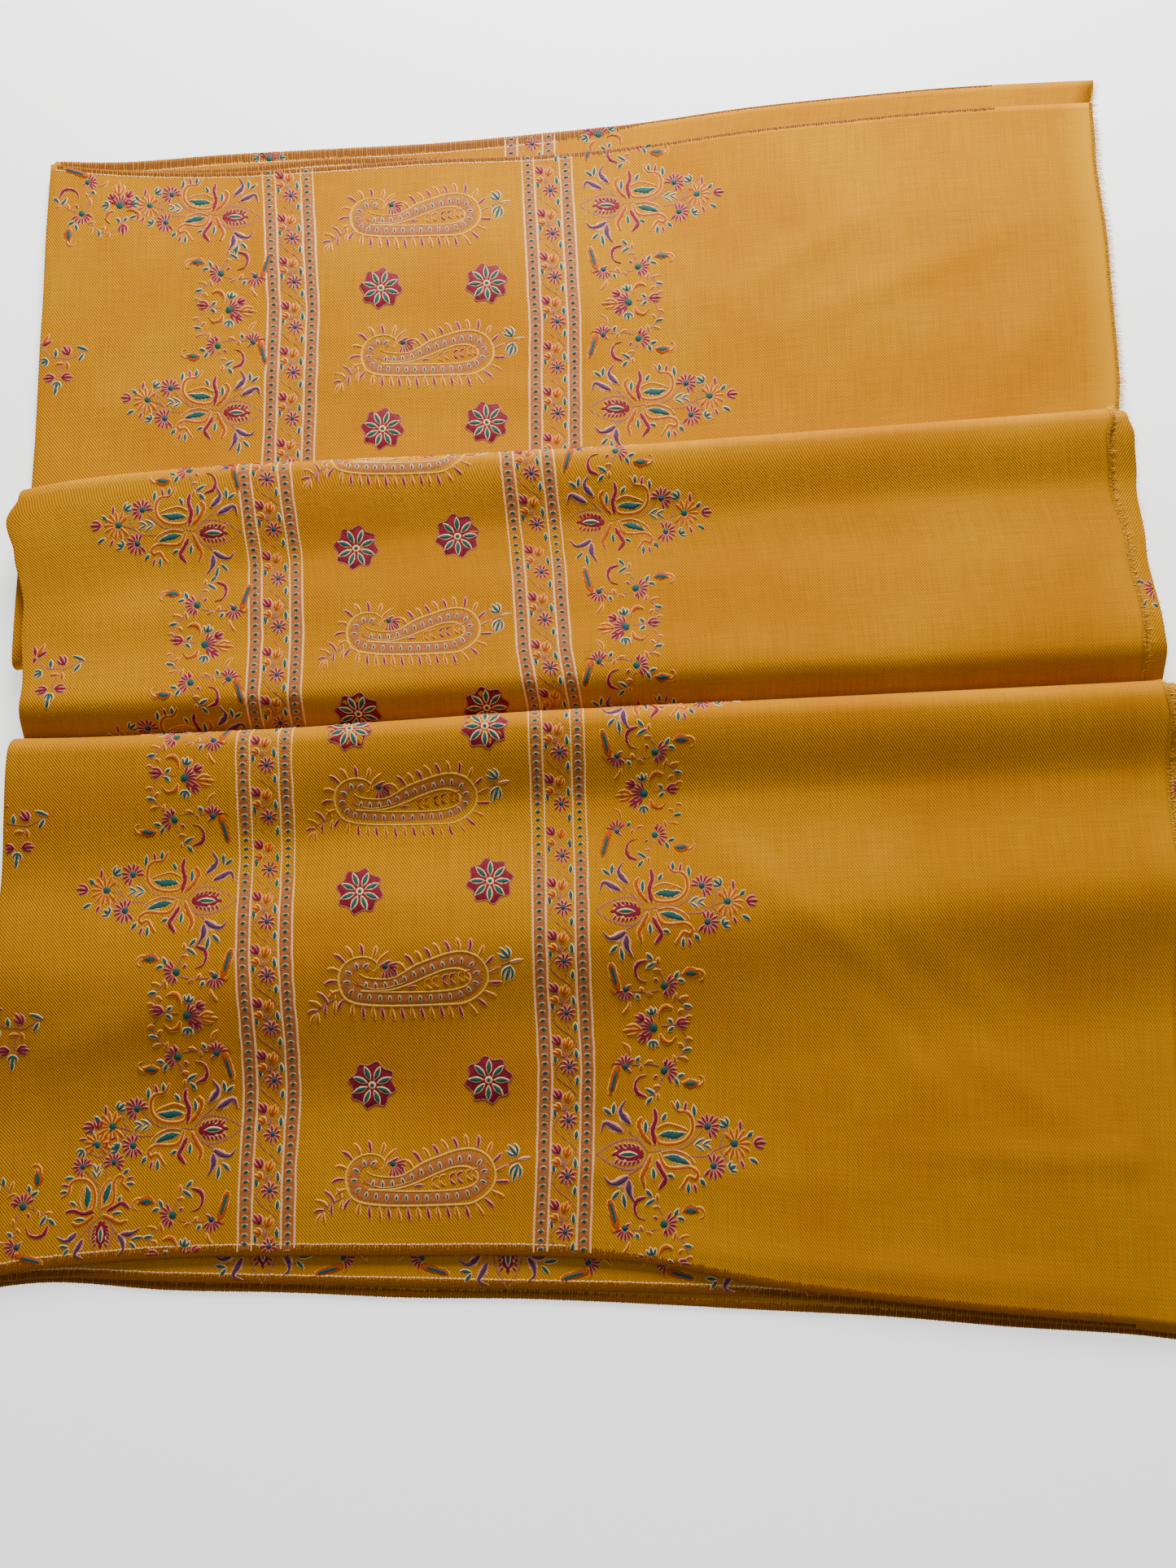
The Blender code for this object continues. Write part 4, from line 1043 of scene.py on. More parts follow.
def twill(name, settings, raveled):
    """Pashmina twill, hand woven 2/2 from fine goat's wool and piece dyed mustard: soft and matt, with a short
    nap that catches light at a flat angle, diagonal ribs a little over a millimetre apart with painted shade
    in their grooves, and uneven yarn.
    raveled gives the distances from the raw end between which the paler strip beside it ends."""
    made, tree, shader, place = woolen(name)
    noise = node(tree, "ShaderNodeTexNoise", {"Vector": place, "Scale": WOBBLE_PER_MM, "Detail": 2.0})
    moved = node(tree, "ShaderNodeVectorMath", {0: noise.outputs["Color"], 1: (RIB_WANDER,) * 3},
                 operation="MULTIPLY").outputs[0]
    cloth = node(tree, "ShaderNodeVectorMath", {0: place, 1: moved}, operation="ADD").outputs[0]
    ribs_per_mm = (1 / in_mm(settings.rib_across), -1 / in_mm(settings.rib_along), 0.0)
    rib = node(tree, "ShaderNodeVectorMath", {0: cloth, 1: ribs_per_mm},
               operation="DOT_PRODUCT").outputs["Value"]
    phase = node(tree, "ShaderNodeMath", {0: rib, 1: 2 * math.pi}, operation="MULTIPLY").outputs[0]
    wave = node(tree, "ShaderNodeMath", {0: phase}, operation="SINE").outputs[0]
    ribs = node(tree, "ShaderNodeMapRange", {"Value": wave, "From Min": -1.0, "From Max": 1.0}).outputs[0]

    def yarn(stretch, scale):
        """Noise drawn out along one set of yarns."""
        drawn = node(tree, "ShaderNodeMapping", {"Vector": place, "Scale": stretch}).outputs[0]
        return node(tree, "ShaderNodeTexNoise", {"Vector": drawn, "Scale": scale, "Detail": 3.0}).outputs[0]

    warp, weft = yarn(WARP_PER_MM, 1.0), yarn(WEFT_PER_MM, 1.0)
    yarns = node(tree, "ShaderNodeMix", {0: 0.5, 2: warp, 3: weft}).outputs[0]
    nap = node(tree, "ShaderNodeTexNoise", {"Vector": place, "Scale": NAP_PER_MM, "Detail": 4.0}).outputs[0]
    dye = node(tree, "ShaderNodeTexNoise", {"Vector": place, "Scale": DYE_PER_MM, "Detail": 3.0}).outputs[0]
    ramp = node(tree, "ShaderNodeValToRGB", {0: dye})
    stops = ((0.35, settings.wool), (0.7, settings.wool_pale))
    for element, (position, colour) in zip(ramp.color_ramp.elements, stops):
        element.position = position
        element.color = (*colour, 1.0)
    # Painted shade in the grooves between the ribs, mixed towards the deeper colour besides the bump; the
    # yarn's darker streaks are its own tone
    rib_shade = node(tree, "ShaderNodeMapRange", {"Value": ribs, "To Min": 0.52, "To Max": 0.0}).outputs[0]
    yarn_shade = node(tree, "ShaderNodeMapRange", {"Value": yarns, "From Min": 0.35, "From Max": 0.65,
                                                   "To Min": 0.30, "To Max": -0.05}).outputs[0]
    shade = node(tree, "ShaderNodeMath", {0: rib_shade, 1: yarn_shade}, operation="ADD",
                 use_clamp=True).outputs[0]
    deep = node(tree, "ShaderNodeMix", {0: shade, 6: ramp.outputs[0], 7: (*settings.wool_deep_and_groove_shade, 1.0)},
                data_type="RGBA").outputs[2]
    # The strip beside the raw end is mixed towards a paler colour, fully on the far tier and a fifth as much
    # further on
    grain = node(tree, "ShaderNodeSeparateXYZ", {0: place})
    paler_share = node(tree, "ShaderNodeMapRange", {"Value": grain.outputs[0], "From Min": raveled[0],
                                             "From Max": raveled[1], "To Min": 0.6, "To Max": 0.0}).outputs[0]
    far_tier_share = node(tree, "ShaderNodeMapRange", {"Value": grain.outputs[1], "From Min": FADE_FROM,
                                              "From Max": FADE_TO, "To Min": 0.2, "To Max": 1.0}).outputs[0]
    paler_share = node(tree, "ShaderNodeMath", {0: paler_share, 1: far_tier_share}, operation="MULTIPLY").outputs[0]
    paler_wool = node(tree, "ShaderNodeMix", {0: paler_share, 6: deep, 7: (*settings.wool_raw_end, 1.0)},
                 data_type="RGBA").outputs[2]
    tree.links.new(paler_wool, shader.inputs["Base Color"])
    height = node(tree, "ShaderNodeMath", {0: ribs, 1: 0.7}, operation="MULTIPLY").outputs[0]
    height = node(tree, "ShaderNodeMath", {0: nap, 1: 0.22, 2: height}, operation="MULTIPLY_ADD").outputs[0]
    bump = node(tree, "ShaderNodeBump", {"Strength": 0.8, "Distance": RIB_RELIEF * MM, "Height": height})
    tree.links.new(bump.outputs[0], shader.inputs["Normal"])
    shader.inputs["Roughness"].default_value = 0.9
    shader.inputs["Specular IOR Level"].default_value = 0.05
    shader.inputs["Sheen Weight"].default_value = 0.04
    shader.inputs["Sheen Roughness"].default_value = 0.4
    shader.inputs["Sheen Tint"].default_value = (*settings.nap, 1.0)
    return made


class SHAWL_OT_cloth(bpy.types.Operator):
    """Makes the four layers of cloth as three thin sheets that join at hidden lines"""

    bl_idname = "shawl.cloth"
    bl_label = "Cloth"

    def execute(self, context):
        settings = context.scene.shawl_cloth
        cloth = twill("mustard pashmina twill, hand woven", settings, (0.0, 16.0))
        plain = twill("mustard pashmina twill, away from its raw end", settings, (-30.0, -20.0))
        d1, d2, d3, d4 = LAYER_DEPTHS
        r = LOOP_RADIUS
        top = (span("raw", "left", 150, d1, 0.0, r) + loop("left", d1, d2, -1)
               + span("left", "left", 7, d2, r, r + LEG))
        middle = (span("left", "left", 2, d2, r + LEG + 0.3, r + LEG + 3)
                  + span("left", "fold", 50, d2, r + LEG + 8, -r)
                  + loop("fold", d2, d3, 1) + span("fold", "left_low", 50, d3, -r, r + LEG + 0.3))
        low = (span("left_low", "left_low", 7, d3, r + LEG, r) + loop("left_low", d3, d4, -1)
               + span("left_low", "raw_low", 54, d4, r, 0.0))
        sheets = [layered_sheet(name, columns, made, settings.thickness) for name, columns, made in (
            ("top_layer", top, cloth), ("middle_layers", middle, plain), ("lowest_layer", low, plain))]
        for piece, nodes, slot in zip(sheets, (
                ("face_far", "face_middle", "face_near"), ("folded_layers", "middle_near"),
                ("reverse_far", "reverse_near")), ("face_cloth", "lower_cloth", "lower_cloth")):
            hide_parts(*nodes)
        return {"FINISHED"}


# Camera of a phone, above the shawl: height, tilt, and its focal length in pixels of the photograph
CAMERA_HEIGHT = 517
CAMERA_TILT = 8.5
FOCAL_PX = 1450
PHOTO_HEIGHT_PX = 1927
SENSOR = 36.0
# Soft lights: name, place, point that it aims at, size and power in watts
LIGHTS = (
    ("window light", (60, 980, 470), (30, 190, 0), 400, 25.2),
    ("fill light", (-100, 0, 1300), (0, 120, 0), 1400, 2.2),
)
FLOOR_REACH = 3.0
FLOOR_DEPTH = 0.0006


class SHAWL_OT_studio(bpy.types.Operator):
    """Makes the pale floor, the soft lights and the camera above the shawl"""

    bl_idname = "shawl.studio"
    bl_label = "Studio"

    def execute(self, context):
        scene = context.scene
        corners = [(x * FLOOR_REACH, y * FLOOR_REACH, -FLOOR_DEPTH)
                   for x, y in ((-1, -1), (1, -1), (1, 1), (-1, 1))]
        floor_mesh = bpy.data.meshes.new("floor")
        floor_mesh.from_pydata(corners, [], [(0, 1, 2, 3)])
        floor = bpy.data.objects.new("floor", floor_mesh)
        scene.collection.objects.link(floor)
        # White backdrop paper, matt and lit from all sides: pale and even, with faint shadows
        paper = bpy.data.materials.new("white backdrop paper, matt")
        paper.use_nodes = True
        shader = paper.node_tree.nodes["Principled BSDF"]
        shader.inputs["Base Color"].default_value = (*linear("#f4f3f0"), 1.0)
        shader.inputs["Roughness"].default_value = 0.9
        shader.inputs["Emission Color"].default_value = (1.0, 1.0, 1.0, 1.0)
        shader.inputs["Emission Strength"].default_value = 1.0
        floor_mesh.materials.append(paper)

        lens = bpy.data.cameras.new("camera above")
        lens.sensor_width = SENSOR
        lens.lens = SENSOR * FOCAL_PX / PHOTO_HEIGHT_PX
        camera = bpy.data.objects.new("camera above", lens)
        camera.location = to_scene((0, 0, CAMERA_HEIGHT))
        camera.rotation_euler = (math.radians(CAMERA_TILT), 0, 0)
        scene.collection.objects.link(camera)
        scene.camera = camera

        for name, place, aim, size, power in LIGHTS:
            lamp = bpy.data.lights.new(name, "AREA")
            lamp.shape = "SQUARE"
            lamp.size = size * MM
            lamp.energy = power
            holder = bpy.data.objects.new(name, lamp)
            start, target = to_scene(place), to_scene(aim)
            direction = Vector(target - start)
            holder.location = start
            holder.rotation_euler = direction.to_track_quat("-Z", "Y").to_euler()
            scene.collection.objects.link(holder)
        world = bpy.data.worlds.new("soft room")
        world.use_nodes = True
        world.node_tree.nodes["Background"].inputs[0].default_value = (*linear("#f2f4f8"), 1.0)
        world.node_tree.nodes["Background"].inputs[1].default_value = 0.3
        scene.world = world
        return {"FINISHED"}


# Middle line of the two bands by tier, as (length along the cloth, x)
BANDS = {
    ("left", 1): ((-5, -143.6), (2, -143.1), (72, -137.5), (145, -137.3), (185, -138.0)),
    ("left", 2): ((-25, -146.0), (-1, -144.0), (41, -138.6), (76, -136.3), (111, -135.5), (135, -135.0)),
    ("left", 3): ((-30, -138.8), (-1, -138.3), (44, -137.3), (88, -136.1), (127, -133.8), (147, -133.1),
                  (179, -134.1), (240, -133.1)),
    ("right", 1): ((-5, -20.4), (1, -20.0), (87, -15.4), (148, -14.9), (185, -14.0)),
    ("right", 2): ((-25, -29.5), (-11, -28.2), (48, -22.0), (87, -19.1), (113, -14.6), (135, -13.0)),
    ("right", 3): ((-30, -14.6), (2, -13.6), (60, -12.0), (110, -11.0), (148, -9.0), (184, -9.6),
                   (240, -11.5)),
}
# Band: its columns' distance from its middle and their width, the ovals' pitch, and the vine's wavelength
COLUMN_MIDDLE = 8.95
COLUMN_WIDTH = 5.7
OVAL_PITCH = 3.6
VINE_UNIT = 22.5
# Lengths along the cloth at which the bands start over a crest and end by tier, and where each vine starts
HIDDEN_BEHIND = -14.0
BAND_ENDS = {1: 176.0, 2: 128.0, 3: 262.0}
VINE_PHASES = (14.0, 3.0, 9.0, 19.0, 6.0, 12.0)


def band_chart(start, end, phase, seed):
    """Band: two pink columns with cream edges and teal ovals, and a vine with flowers and buds between."""
    c = Chart(seed)
    for column in (-COLUMN_MIDDLE, COLUMN_MIDDLE):
        c.stroke(((column, start), (column, end)), COLUMN_WIDTH - 0.4, "pink", "even", crown=0.13, step=1.6)
        for edge in (-0.5, 0.5):
            places = np.arange(start, end + 0.1, 5.5)
            wave = column + edge * COLUMN_WIDTH + c.hand.uniform(-0.16, 0.16, len(places))
            c.stroke(np.column_stack([wave, places]), 0.95, "cream", crown=0.34, step=1.5)
        for k, place in enumerate(np.arange(start + 1.2 + 0.4 * column / COLUMN_MIDDLE, end - 1, OVAL_PITCH)):
            v = place + c.hand.uniform(-0.25, 0.25)
            c.leaf((column - 1.15, v), (column + 1.15, v + c.hand.uniform(-0.2, 0.2)), 1.6, edge=0.32)
            c.stroke(((column - 2.1, v + 1.8), (column, v + 1.75), (column + 2.1, v + 1.8)), 0.5, "mauve",
                     crown=0.24)
    places = np.arange(start, end, 2.6)
    c.stroke(np.column_stack([-4.6 * np.cos(math.tau * (places - phase - 2) / VINE_UNIT), places]), 0.6,
             "mauve", crown=0.2, step=1.0)
    first = phase - VINE_UNIT * math.ceil((phase - start) / VINE_UNIT)
    for v in np.arange(first - VINE_UNIT, end, VINE_UNIT):
        if start + 4 < v < end - 4:
            centre = np.array((1.2, v))
            c.rays(centre, 1.1, 3.6, 0, 360, 9, "crimson", 1.05)
            c.disc(centre, 1.15, "blue")
            c.vine((1.4, v + 3.6), (1.9, v + 6.5))
        for a, b in (((4.6, -3.0), (4.2, -7.2)), ((-4.4, -1.6), (-4.7, -5.4)), ((4.4, 8.0), (4.7, 4.2))):
            if start < v + b[1] and v + a[1] < end:
                c.leaf((a[0], a[1] + v), (b[0], b[1] + v), 1.65, edge=0.38)
        for base, tip, fill in (((-2.4, 13.4), (-5.2, 9.2), "crimson"), ((0.2, 14.9), (1.6, 10.4), "orange"),
                                ((-2.2, 17.6), (-5.4, 16.0), "orange")):
            if start < v + tip[1] and v + base[1] < end:
                c.bud((base[0], base[1] + v), (tip[0], tip[1] + v), fill, 1.45)
        if start < v + 12 and v + 19 < end:
            c.vine((-0.4, v + 18.6), (-1.4, v + 15.5), (-2.4, v + 13.4))
            c.vine((-0.4, v + 18.6), (0.3, v + 16.5), (0.2, v + 14.9))
            c.vine((-0.4, v + 18.6), (-2.2, v + 17.6))
    return c


def sprig_chart():
    """Sprig strewn over the field: a bent stem with a small flower, three-part buds and pairs of leaves."""
    c = Chart(17)
    c.vine((-10.6, -5.8), (-8.6, -3.0), (-5.9, -0.7), (-1.5, -0.2), (2.2, 0.0), (5.9, -1.8), (11.6, -4.6))
    c.vine((1.6, 0.6), (-0.4, 3.2), (-1.6, 5.6), (-2.2, 10.6), width=0.9)
    for a, b, fill in (((-10.8, -6.4), (-7.9, -12.0), "orange"), ((-10.6, -6.0), (-6.4, -8.6), "crimson"),
                       ((-11.4, -6.8), (-12.3, -11.0), "crimson"), ((-11.2, -6.0), (-11.9, -3.6), "crimson"),
                       ((-4.1, -0.6), (-4.3, -4.6), "teal"), ((10.6, -4.2), (5.2, -6.3), "teal"),
                       ((8.9, -2.8), (6.5, 1.2), "teal"), ((0.0, 2.7), (-3.9, 2.8), "orange"),
                       ((1.2, 1.6), (1.9, 4.9), "orange")):
        c.leaf(a, b, 1.7, fill, edge=0.4)
    c.bud((-7.6, 1.2), (-11.3, 2.7), "teal", 1.6)
    c.bud((2.0, -2.0), (-0.9, -6.6), "crimson", 1.7)
    c.bud((-4.0, 9.6), (-9.4, 10.0), "crimson", 1.5)
    c.bud((-0.9, 9.3), (4.6, 9.0), "crimson", 1.5)
    c.bud((-2.7, 11.4), (-3.0, 15.2), "teal", 1.7)
    c.leaf((-3.0, 13.6), (-3.4, 18.2), 1.7, edge=0.4)
    return c


def floss(name, colour, deep):
    """Two-ply pashmina embroidery thread, loosely twisted and dyed in the skein: fine strands lie across each
    form and take the light in turn, so a filled petal looks ribbed and a little silky."""
    made, tree, shader, place = woolen(name)
    laid = node(tree, "ShaderNodeMapping",
                {"Vector": place, "Rotation": (0.0, 0.0, STRAND_LEAN), "Scale": STRANDS_PER_MM}).outputs[0]
    strands = node(tree, "ShaderNodeTexNoise", {"Vector": laid, "Scale": 1.0, "Detail": 2.0}).outputs[0]
    spread = node(tree, "ShaderNodeMapRange", {"Value": strands, "From Min": 0.36, "From Max": 0.64})
    mixed = node(tree, "ShaderNodeMix", {0: spread.outputs[0], 6: (*deep, 1.0), 7: (*colour, 1.0)},
                 data_type="RGBA").outputs[2]
    tree.links.new(mixed, shader.inputs["Base Color"])
    bump = node(tree, "ShaderNodeBump", {"Strength": 0.7, "Distance": STRAND_RELIEF * MM, "Height": strands})
    tree.links.new(bump.outputs[0], shader.inputs["Normal"])
    shader.inputs["Roughness"].default_value = 0.72
    shader.inputs["Specular IOR Level"].default_value = 0.16
    shader.inputs["Sheen Weight"].default_value = 0.0
    return made


FLOSS = {}


def threads():
    """One embroidery thread of each colour, made once."""
    settings = bpy.context.scene.shawl_threads
    for key, (kind, _, _) in THREAD_COLOURS.items():
        if key not in FLOSS:
            FLOSS[key] = floss(kind, getattr(settings, key), getattr(settings, key + "_deep"))
    return FLOSS


# Places of the motifs: tier, x, length along the cloth, and for paisleys size, for bouquets turn and size
PAISLEYS = ((1, -82.0, 30.2, 1.0), (1, -74.9, 100.4, 1.0), (2, -85.5, -6.3, 0.97), (2, -76.8, 76.8, 0.95),
            (3, -78.5, 29.2, 0.99), (3, -73.7, 106.6, 1.02), (3, -70.3, 189.8, 1.02))
STARS = ((1, -96.9, 65.3), (1, -47.4, 65.5), (1, -94.5, 134.8), (1, -46.6, 134.2), (2, -103.1, 35.3),
         (2, -58.1, 31.9), (2, -100.0, 112.5), (2, -44.2, 112.7), (3, -102.2, -5.0), (3, -44.1, -1.3),
         (3, -96.7, 66.4), (3, -41.6, 66.2), (3, -91.0, 149.2), (3, -41.8, 150.6))
CONES_RIGHT = ((1, -3.5, 27.0, 0, 1.02), (1, 0.5, 129.4, 0, 1.03), (2, -10.5, 27.1, 0, 0.99),
               (2, -0.5, 129.0, 0, 1.0), (3, 3.0, -17.0, 0, 1.0), (3, 3.8, 80.5, 0, 1.02),
               (3, 4.2, 182.5, 0, 1.06))
CONES_LEFT = ((1, -155.2, 23.1, 0, 0.97), (1, -150.1, 121.4, 0, 0.98), (2, -154.1, 25.1, 0, 0.99),
              (2, -148.0, 126.0, 0, 1.0), (3, -150.5, -33.0, 0, 1.0), (3, -149.4, 65.5, 0, 1.02),
              (3, -145.7, 161.6, -4, 1.0))
BOUQUETS_RIGHT = ((1, 17.0, -21.0), (1, 18.8, 80.2), (2, 7.5, -20.5), (2, 16.4, 79.0), (3, 24.0, 31.7),
                  (3, 27.5, 132.4), (3, 27.0, 231.0))
BOUQUETS_LEFT = ((1, -167.3, 70.9), (2, -172.7, -21.6), (2, -167.1, 76.6), (3, -171.6, 12.8),
                 (3, -167.7, 113.7), (3, -168.2, 215.0))
SPRIGS = ((1, -242.9, 97.5), (2, -229.7, 81.5), (3, -240.1, 30.8), (3, -239.1, 116.5))


def add_needlework(name, lay):
    """Lays a group of motifs and makes it one piece that rides on the shawl."""
    work = Needlework()
    lay(work)
    piece = work.finish(name, threads())
    return piece


class SHAWL_OT_bands(bpy.types.Operator):
    """Works the two bands with their vines across the three tiers"""

    bl_idname = "shawl.bands"
    bl_label = "Bands"

    def execute(self, context):
        def lay(work):
            for k, ((side_name, tier), line) in enumerate(BANDS.items()):
                start = 0.5 if tier == 1 else HIDDEN_BEHIND
                chart = band_chart(start, BAND_ENDS[tier], VINE_PHASES[k], 20 + k)
                points = np.vstack(chart.points)
                middle = np.interp(points[:, 1], *zip(*line))
                work.put(chart, tier, middle + points[:, 0], points[:, 1], points[:, 2])
        add_needlework("needlework_bands", lay)
        return {"FINISHED"}


class SHAWL_OT_motifs(bpy.types.Operator):
    """Works the paisleys and eight-petalled flowers between the bands"""

    bl_idname = "shawl.motifs"
    bl_label = "Paisleys and flowers"

    def execute(self, context):
        def lay(work):
            chart = paisley_chart()
            for tier, x, s, size in PAISLEYS:
                work.lay(chart, tier, x, s, size=size)
            chart = star_chart()
            for k, (tier, x, s) in enumerate(STARS):
                work.lay(chart, tier, x, s, 17 + 23 * k)
        add_needlework("needlework_palla", lay)
        return {"FINISHED"}


class SHAWL_OT_bouquets(bpy.types.Operator):
    """Works the pointed bouquets outside the bands and the groups between them"""

    bl_idname = "shawl.bouquets"
    bl_label = "Bouquets"

    def execute(self, context):
        cone, half, bouquet = cone_chart(), half_group_chart(), bouquet_chart()

        def lay_side(cones, bouquets, sign):
            def lay(work):
                for tier, x, s, turn, size in cones:
                    work.lay(cone, tier, x, s, turn, size, (sign, 1))
                for tier, x, s in bouquets:
                    work.lay(bouquet, tier, x, s, mirror=(sign, 1))
                    work.lay(half, tier, x, s, mirror=(sign, 1))
                    work.lay(half, tier, x, s, mirror=(sign, -1))
            return lay
        add_needlework("needlework_right_bouquets", lay_side(CONES_RIGHT, BOUQUETS_RIGHT, 1))
        add_needlework("needlework_left_bouquets", lay_side(CONES_LEFT, BOUQUETS_LEFT, -1))
        return {"FINISHED"}


def fold_flower_chart():
    """Half flower with leaves, where the second layer's needlework runs over the fold on the right."""
    c = Chart(18)
    c.rays(np.array((2.0, 0.0)), 1.1, 5.4, 70, 290, 9, "crimson", 1.05)
    c.disc((2.0, 0.0), 1.0, "teal")
    c.leaf((-6.4, -4.2), (-2.8, -3.2), 1.7)
    c.leaf((-4.6, 8.4), (-2.6, 5.2), 1.5)
    c.leaf((2.6, 9.2), (-0.4, 7.4), 1.7)
    return c


class SHAWL_OT_borders(bpy.types.Operator):
    """Works the borders along the selvedges, the strewn sprigs, and what shows of the lower layers' work"""

    bl_idname = "shawl.borders"
    bl_label = "Side borders and sprigs"

    def execute(self, context):
        cone, half, bouquet, sprig = cone_chart(), half_group_chart(), bouquet_chart(), sprig_chart()
        fold_flower = fold_flower_chart()

        def lay(work):
            for tier, x, s in SPRIGS:
                work.lay(sprig, tier, x, s)
            work.lay(bouquet, 1, -221.5, 18.0, 90)
            work.lay(half, 1, -221.5, 18.0, 90, 1, (1, -1))
            work.lay(cone, 3, -203.4, 213.0, -90, 0.86)
            work.lay(half, 3, -253.5, 195.0, -90, 1.0, (1, -1))
            for layer, x, s in (("second", 2), 248.0, 80.0), (("second", 3), 254.0, 41.0):
                work.lay(fold_flower, layer, x, s, level=False)
            for x in (-136.5, -34.5, 67.5):
                work.lay(cone, "third", x, -0.6, -90)
                for sign in (-1, 1):
                    work.lay(half, "third", x + 51.0, -23.0, -90, 1, (1, sign))
            reverse = band_chart(0.5, 14.0, 5.0, 31)
            points = np.vstack(reverse.points)
            work.put(reverse, "fourth", points[:, 0] - 28.0, points[:, 1], points[:, 2])
            work.lay(bouquet, "fourth", 5.0, 3.4, 70)
            work.lay(bouquet, "fourth", -153.0, 3.4, 90, 0.9)
        add_needlework("needlework_borders", lay)
        return {"FINISHED"}


# Overcast selvedges: edge, depth of the layer's middle, x up to which it is worked, reach of the stitches on
# the left and on the right, and x up to which a cream line runs beside it, or None
SELVEDGES = (
    ("far", 0.3, 195.0, (2.6, 1.7), -6.0),
    ("far", 1.6, 196.0, (2.6, 1.5), None),
    ("far", 2.9, 196.0, (3.6, 1.6), -96.0),
    ("far", 4.2, 196.0, (5.0, 1.0), -14.0),
    ("near", 0.3, 216.0, (4.2, 3.0), -8.0),
    ("near", 1.6, 222.0, (3.2, 3.0), None),
    ("near", 2.9, 226.0, (3.4, 3.0), 108.0),
    ("near", 4.2, 248.0, (3.4, 3.0), None),
)
# Way of an overcasting stitch round the edge: share of its reach inward from the selvedge, and height
WRAP = ((1.0, 0.34), (0.75, 0.46), (0.3, 0.48), (0.02, 0.4), (-0.12, 0.0), (0.02, -0.4), (0.4, -0.42))
OVERCAST_START = -252.5
# Back stitch of the cream line: place along it, half width and height
BACK_STITCH = ((-0.98, 0.12, 0.34), (-0.5, 0.36, 0.55), (0.5, 0.36, 0.55), (0.98, 0.12, 0.34))
CREAM_START = -253.0
CREAM_PITCH = 1.9


def selvedge_points(edge, depth, x, inward):
    """Points on a layer's middle near a selvedge, a distance inward from it."""
    tier = 1 if edge == "far" else 3
    out = 1 if tier == 1 else -1
    line = edge_line(x, np.full_like(x, depth), edge)
    y = line - out * inward
    lift = tier_form(x, y, tier)[1] * layer_share(depth)
    return np.stack([x, y, STACK - depth + lift], -1), out


def overcast(edge, depth, last, reaches, pitch, seed):
    """Overcasting stitches that wrap a selvedge, each a bead of thread over the edge and back."""
    hand = np.random.default_rng(seed)
    x = np.arange(OVERCAST_START, last, pitch)
    x = x + hand.uniform(-0.12, 0.12, len(x))
    left, right = reaches
    reach = (left + (right - left) * smooth(x / 30)) * (1 + 0.16 * hand.uniform(-1, 1, len(x)))
    lean = 0.25 + hand.uniform(-0.12, 0.12, len(x))
    rows = []
    for inward, height in WRAP:
        middle, out = selvedge_points(edge, depth, x + lean * inward, inward * reach)
        middle[:, 2] += height
        half = pitch * (0.45 if 0 < inward < 1 else 0.36)
        for side_step, drop in ((-half, 0.16), (0.0, 0.0), (half, 0.16)):
            moved = middle.copy()
            moved[:, 0] += side_step
            moved[:, 2] -= math.copysign(drop, height) if height else 0.0
            moved[:, 1] -= out * (drop if inward < 0.01 else 0.0)
            rows.append(moved)
    points = np.stack(rows, 1)
    faces = repeated_faces(grid_faces(len(WRAP), 3), len(x), len(WRAP) * 3)
    grain = [(k * 0.8, offset) for k in range(len(WRAP)) for offset in (-0.5, 0.0, 0.5)]
    return points.reshape(-1, 3), faces, np.tile(grain, (len(x), 1))


def cream_line(edge, depth, last, reach, seed):
    """Row of small cream back stitches along the inner side of the overcasting."""
    hand = np.random.default_rng(seed)
    x = np.arange(CREAM_START, last, CREAM_PITCH)
    inward = reach + 0.2 + hand.uniform(-0.12, 0.12, len(x))
    rows = []
    for step, width, height in BACK_STITCH:
        for offset, drop in ((-width, 0.2), (0.0, 0.0), (width, 0.2)):
            middle, _ = selvedge_points(edge, depth, x + step, inward + offset + 0.08 * step)
            middle[:, 2] += height - drop
            rows.append(middle)
    points = np.stack(rows, 1)
    faces = repeated_faces(grid_faces(len(BACK_STITCH), 3), len(x), len(BACK_STITCH) * 3)
    grain = [(k * 0.5, offset) for k in range(len(BACK_STITCH)) for offset in (-0.3, 0.0, 0.3)]
    return points.reshape(-1, 3), faces, np.tile(grain, (len(x), 1))


def joined(parts):
    """One set of points, faces, inks and grain from several parts, each with its own ink."""
    points, faces, inks, grain, count = [], [], [], [], 0
    for (part_points, part_faces, part_grain), ink in parts:
        points.append(part_points)
        faces.append(part_faces + count)
        inks += [ink] * len(part_faces)
        grain.append(part_grain)
        count += len(part_points)
    return np.vstack(points), np.vstack(faces), inks, np.vstack(grain)


class SHAWL_OT_edging(bpy.types.Operator):
    """Overcasts the selvedges of the four layers in brown and stitches the cream line beside it"""

    bl_idname = "shawl.edging"
    bl_label = "Edging"

    def execute(self, context):
        pitch = in_mm(context.scene.shawl_edges.stitch_pitch)
        for name, near in (("edging_far", False), ("edging_near", True)):
            parts = []
            for k, (edge, depth, last, reaches, cream) in enumerate(SELVEDGES):
                if (edge == "near") == near:
                    parts.append((overcast(edge, depth, last, reaches, pitch, 50 + k), 0))
                    if cream is not None:
                        parts.append((cream_line(edge, depth, cream, reaches[0], 70 + k), 1))
            points, faces, inks, grain = joined(parts)
            piece = mesh_piece(name, points, faces, [threads()["brown"], threads()["cream"]], inks, grain)
        return {"FINISHED"}


# Lengths of the stretches along the raw ends, and the part of a crest's roll that hides them
FRINGE_STRETCHES = (
    ("tier_1", 172.0), ("crest_1", 20.0), ("tier_2", 128.0), ("crest_2", 23.0), ("tier_3", 262.0))
CREST_HIDDEN = 0.3
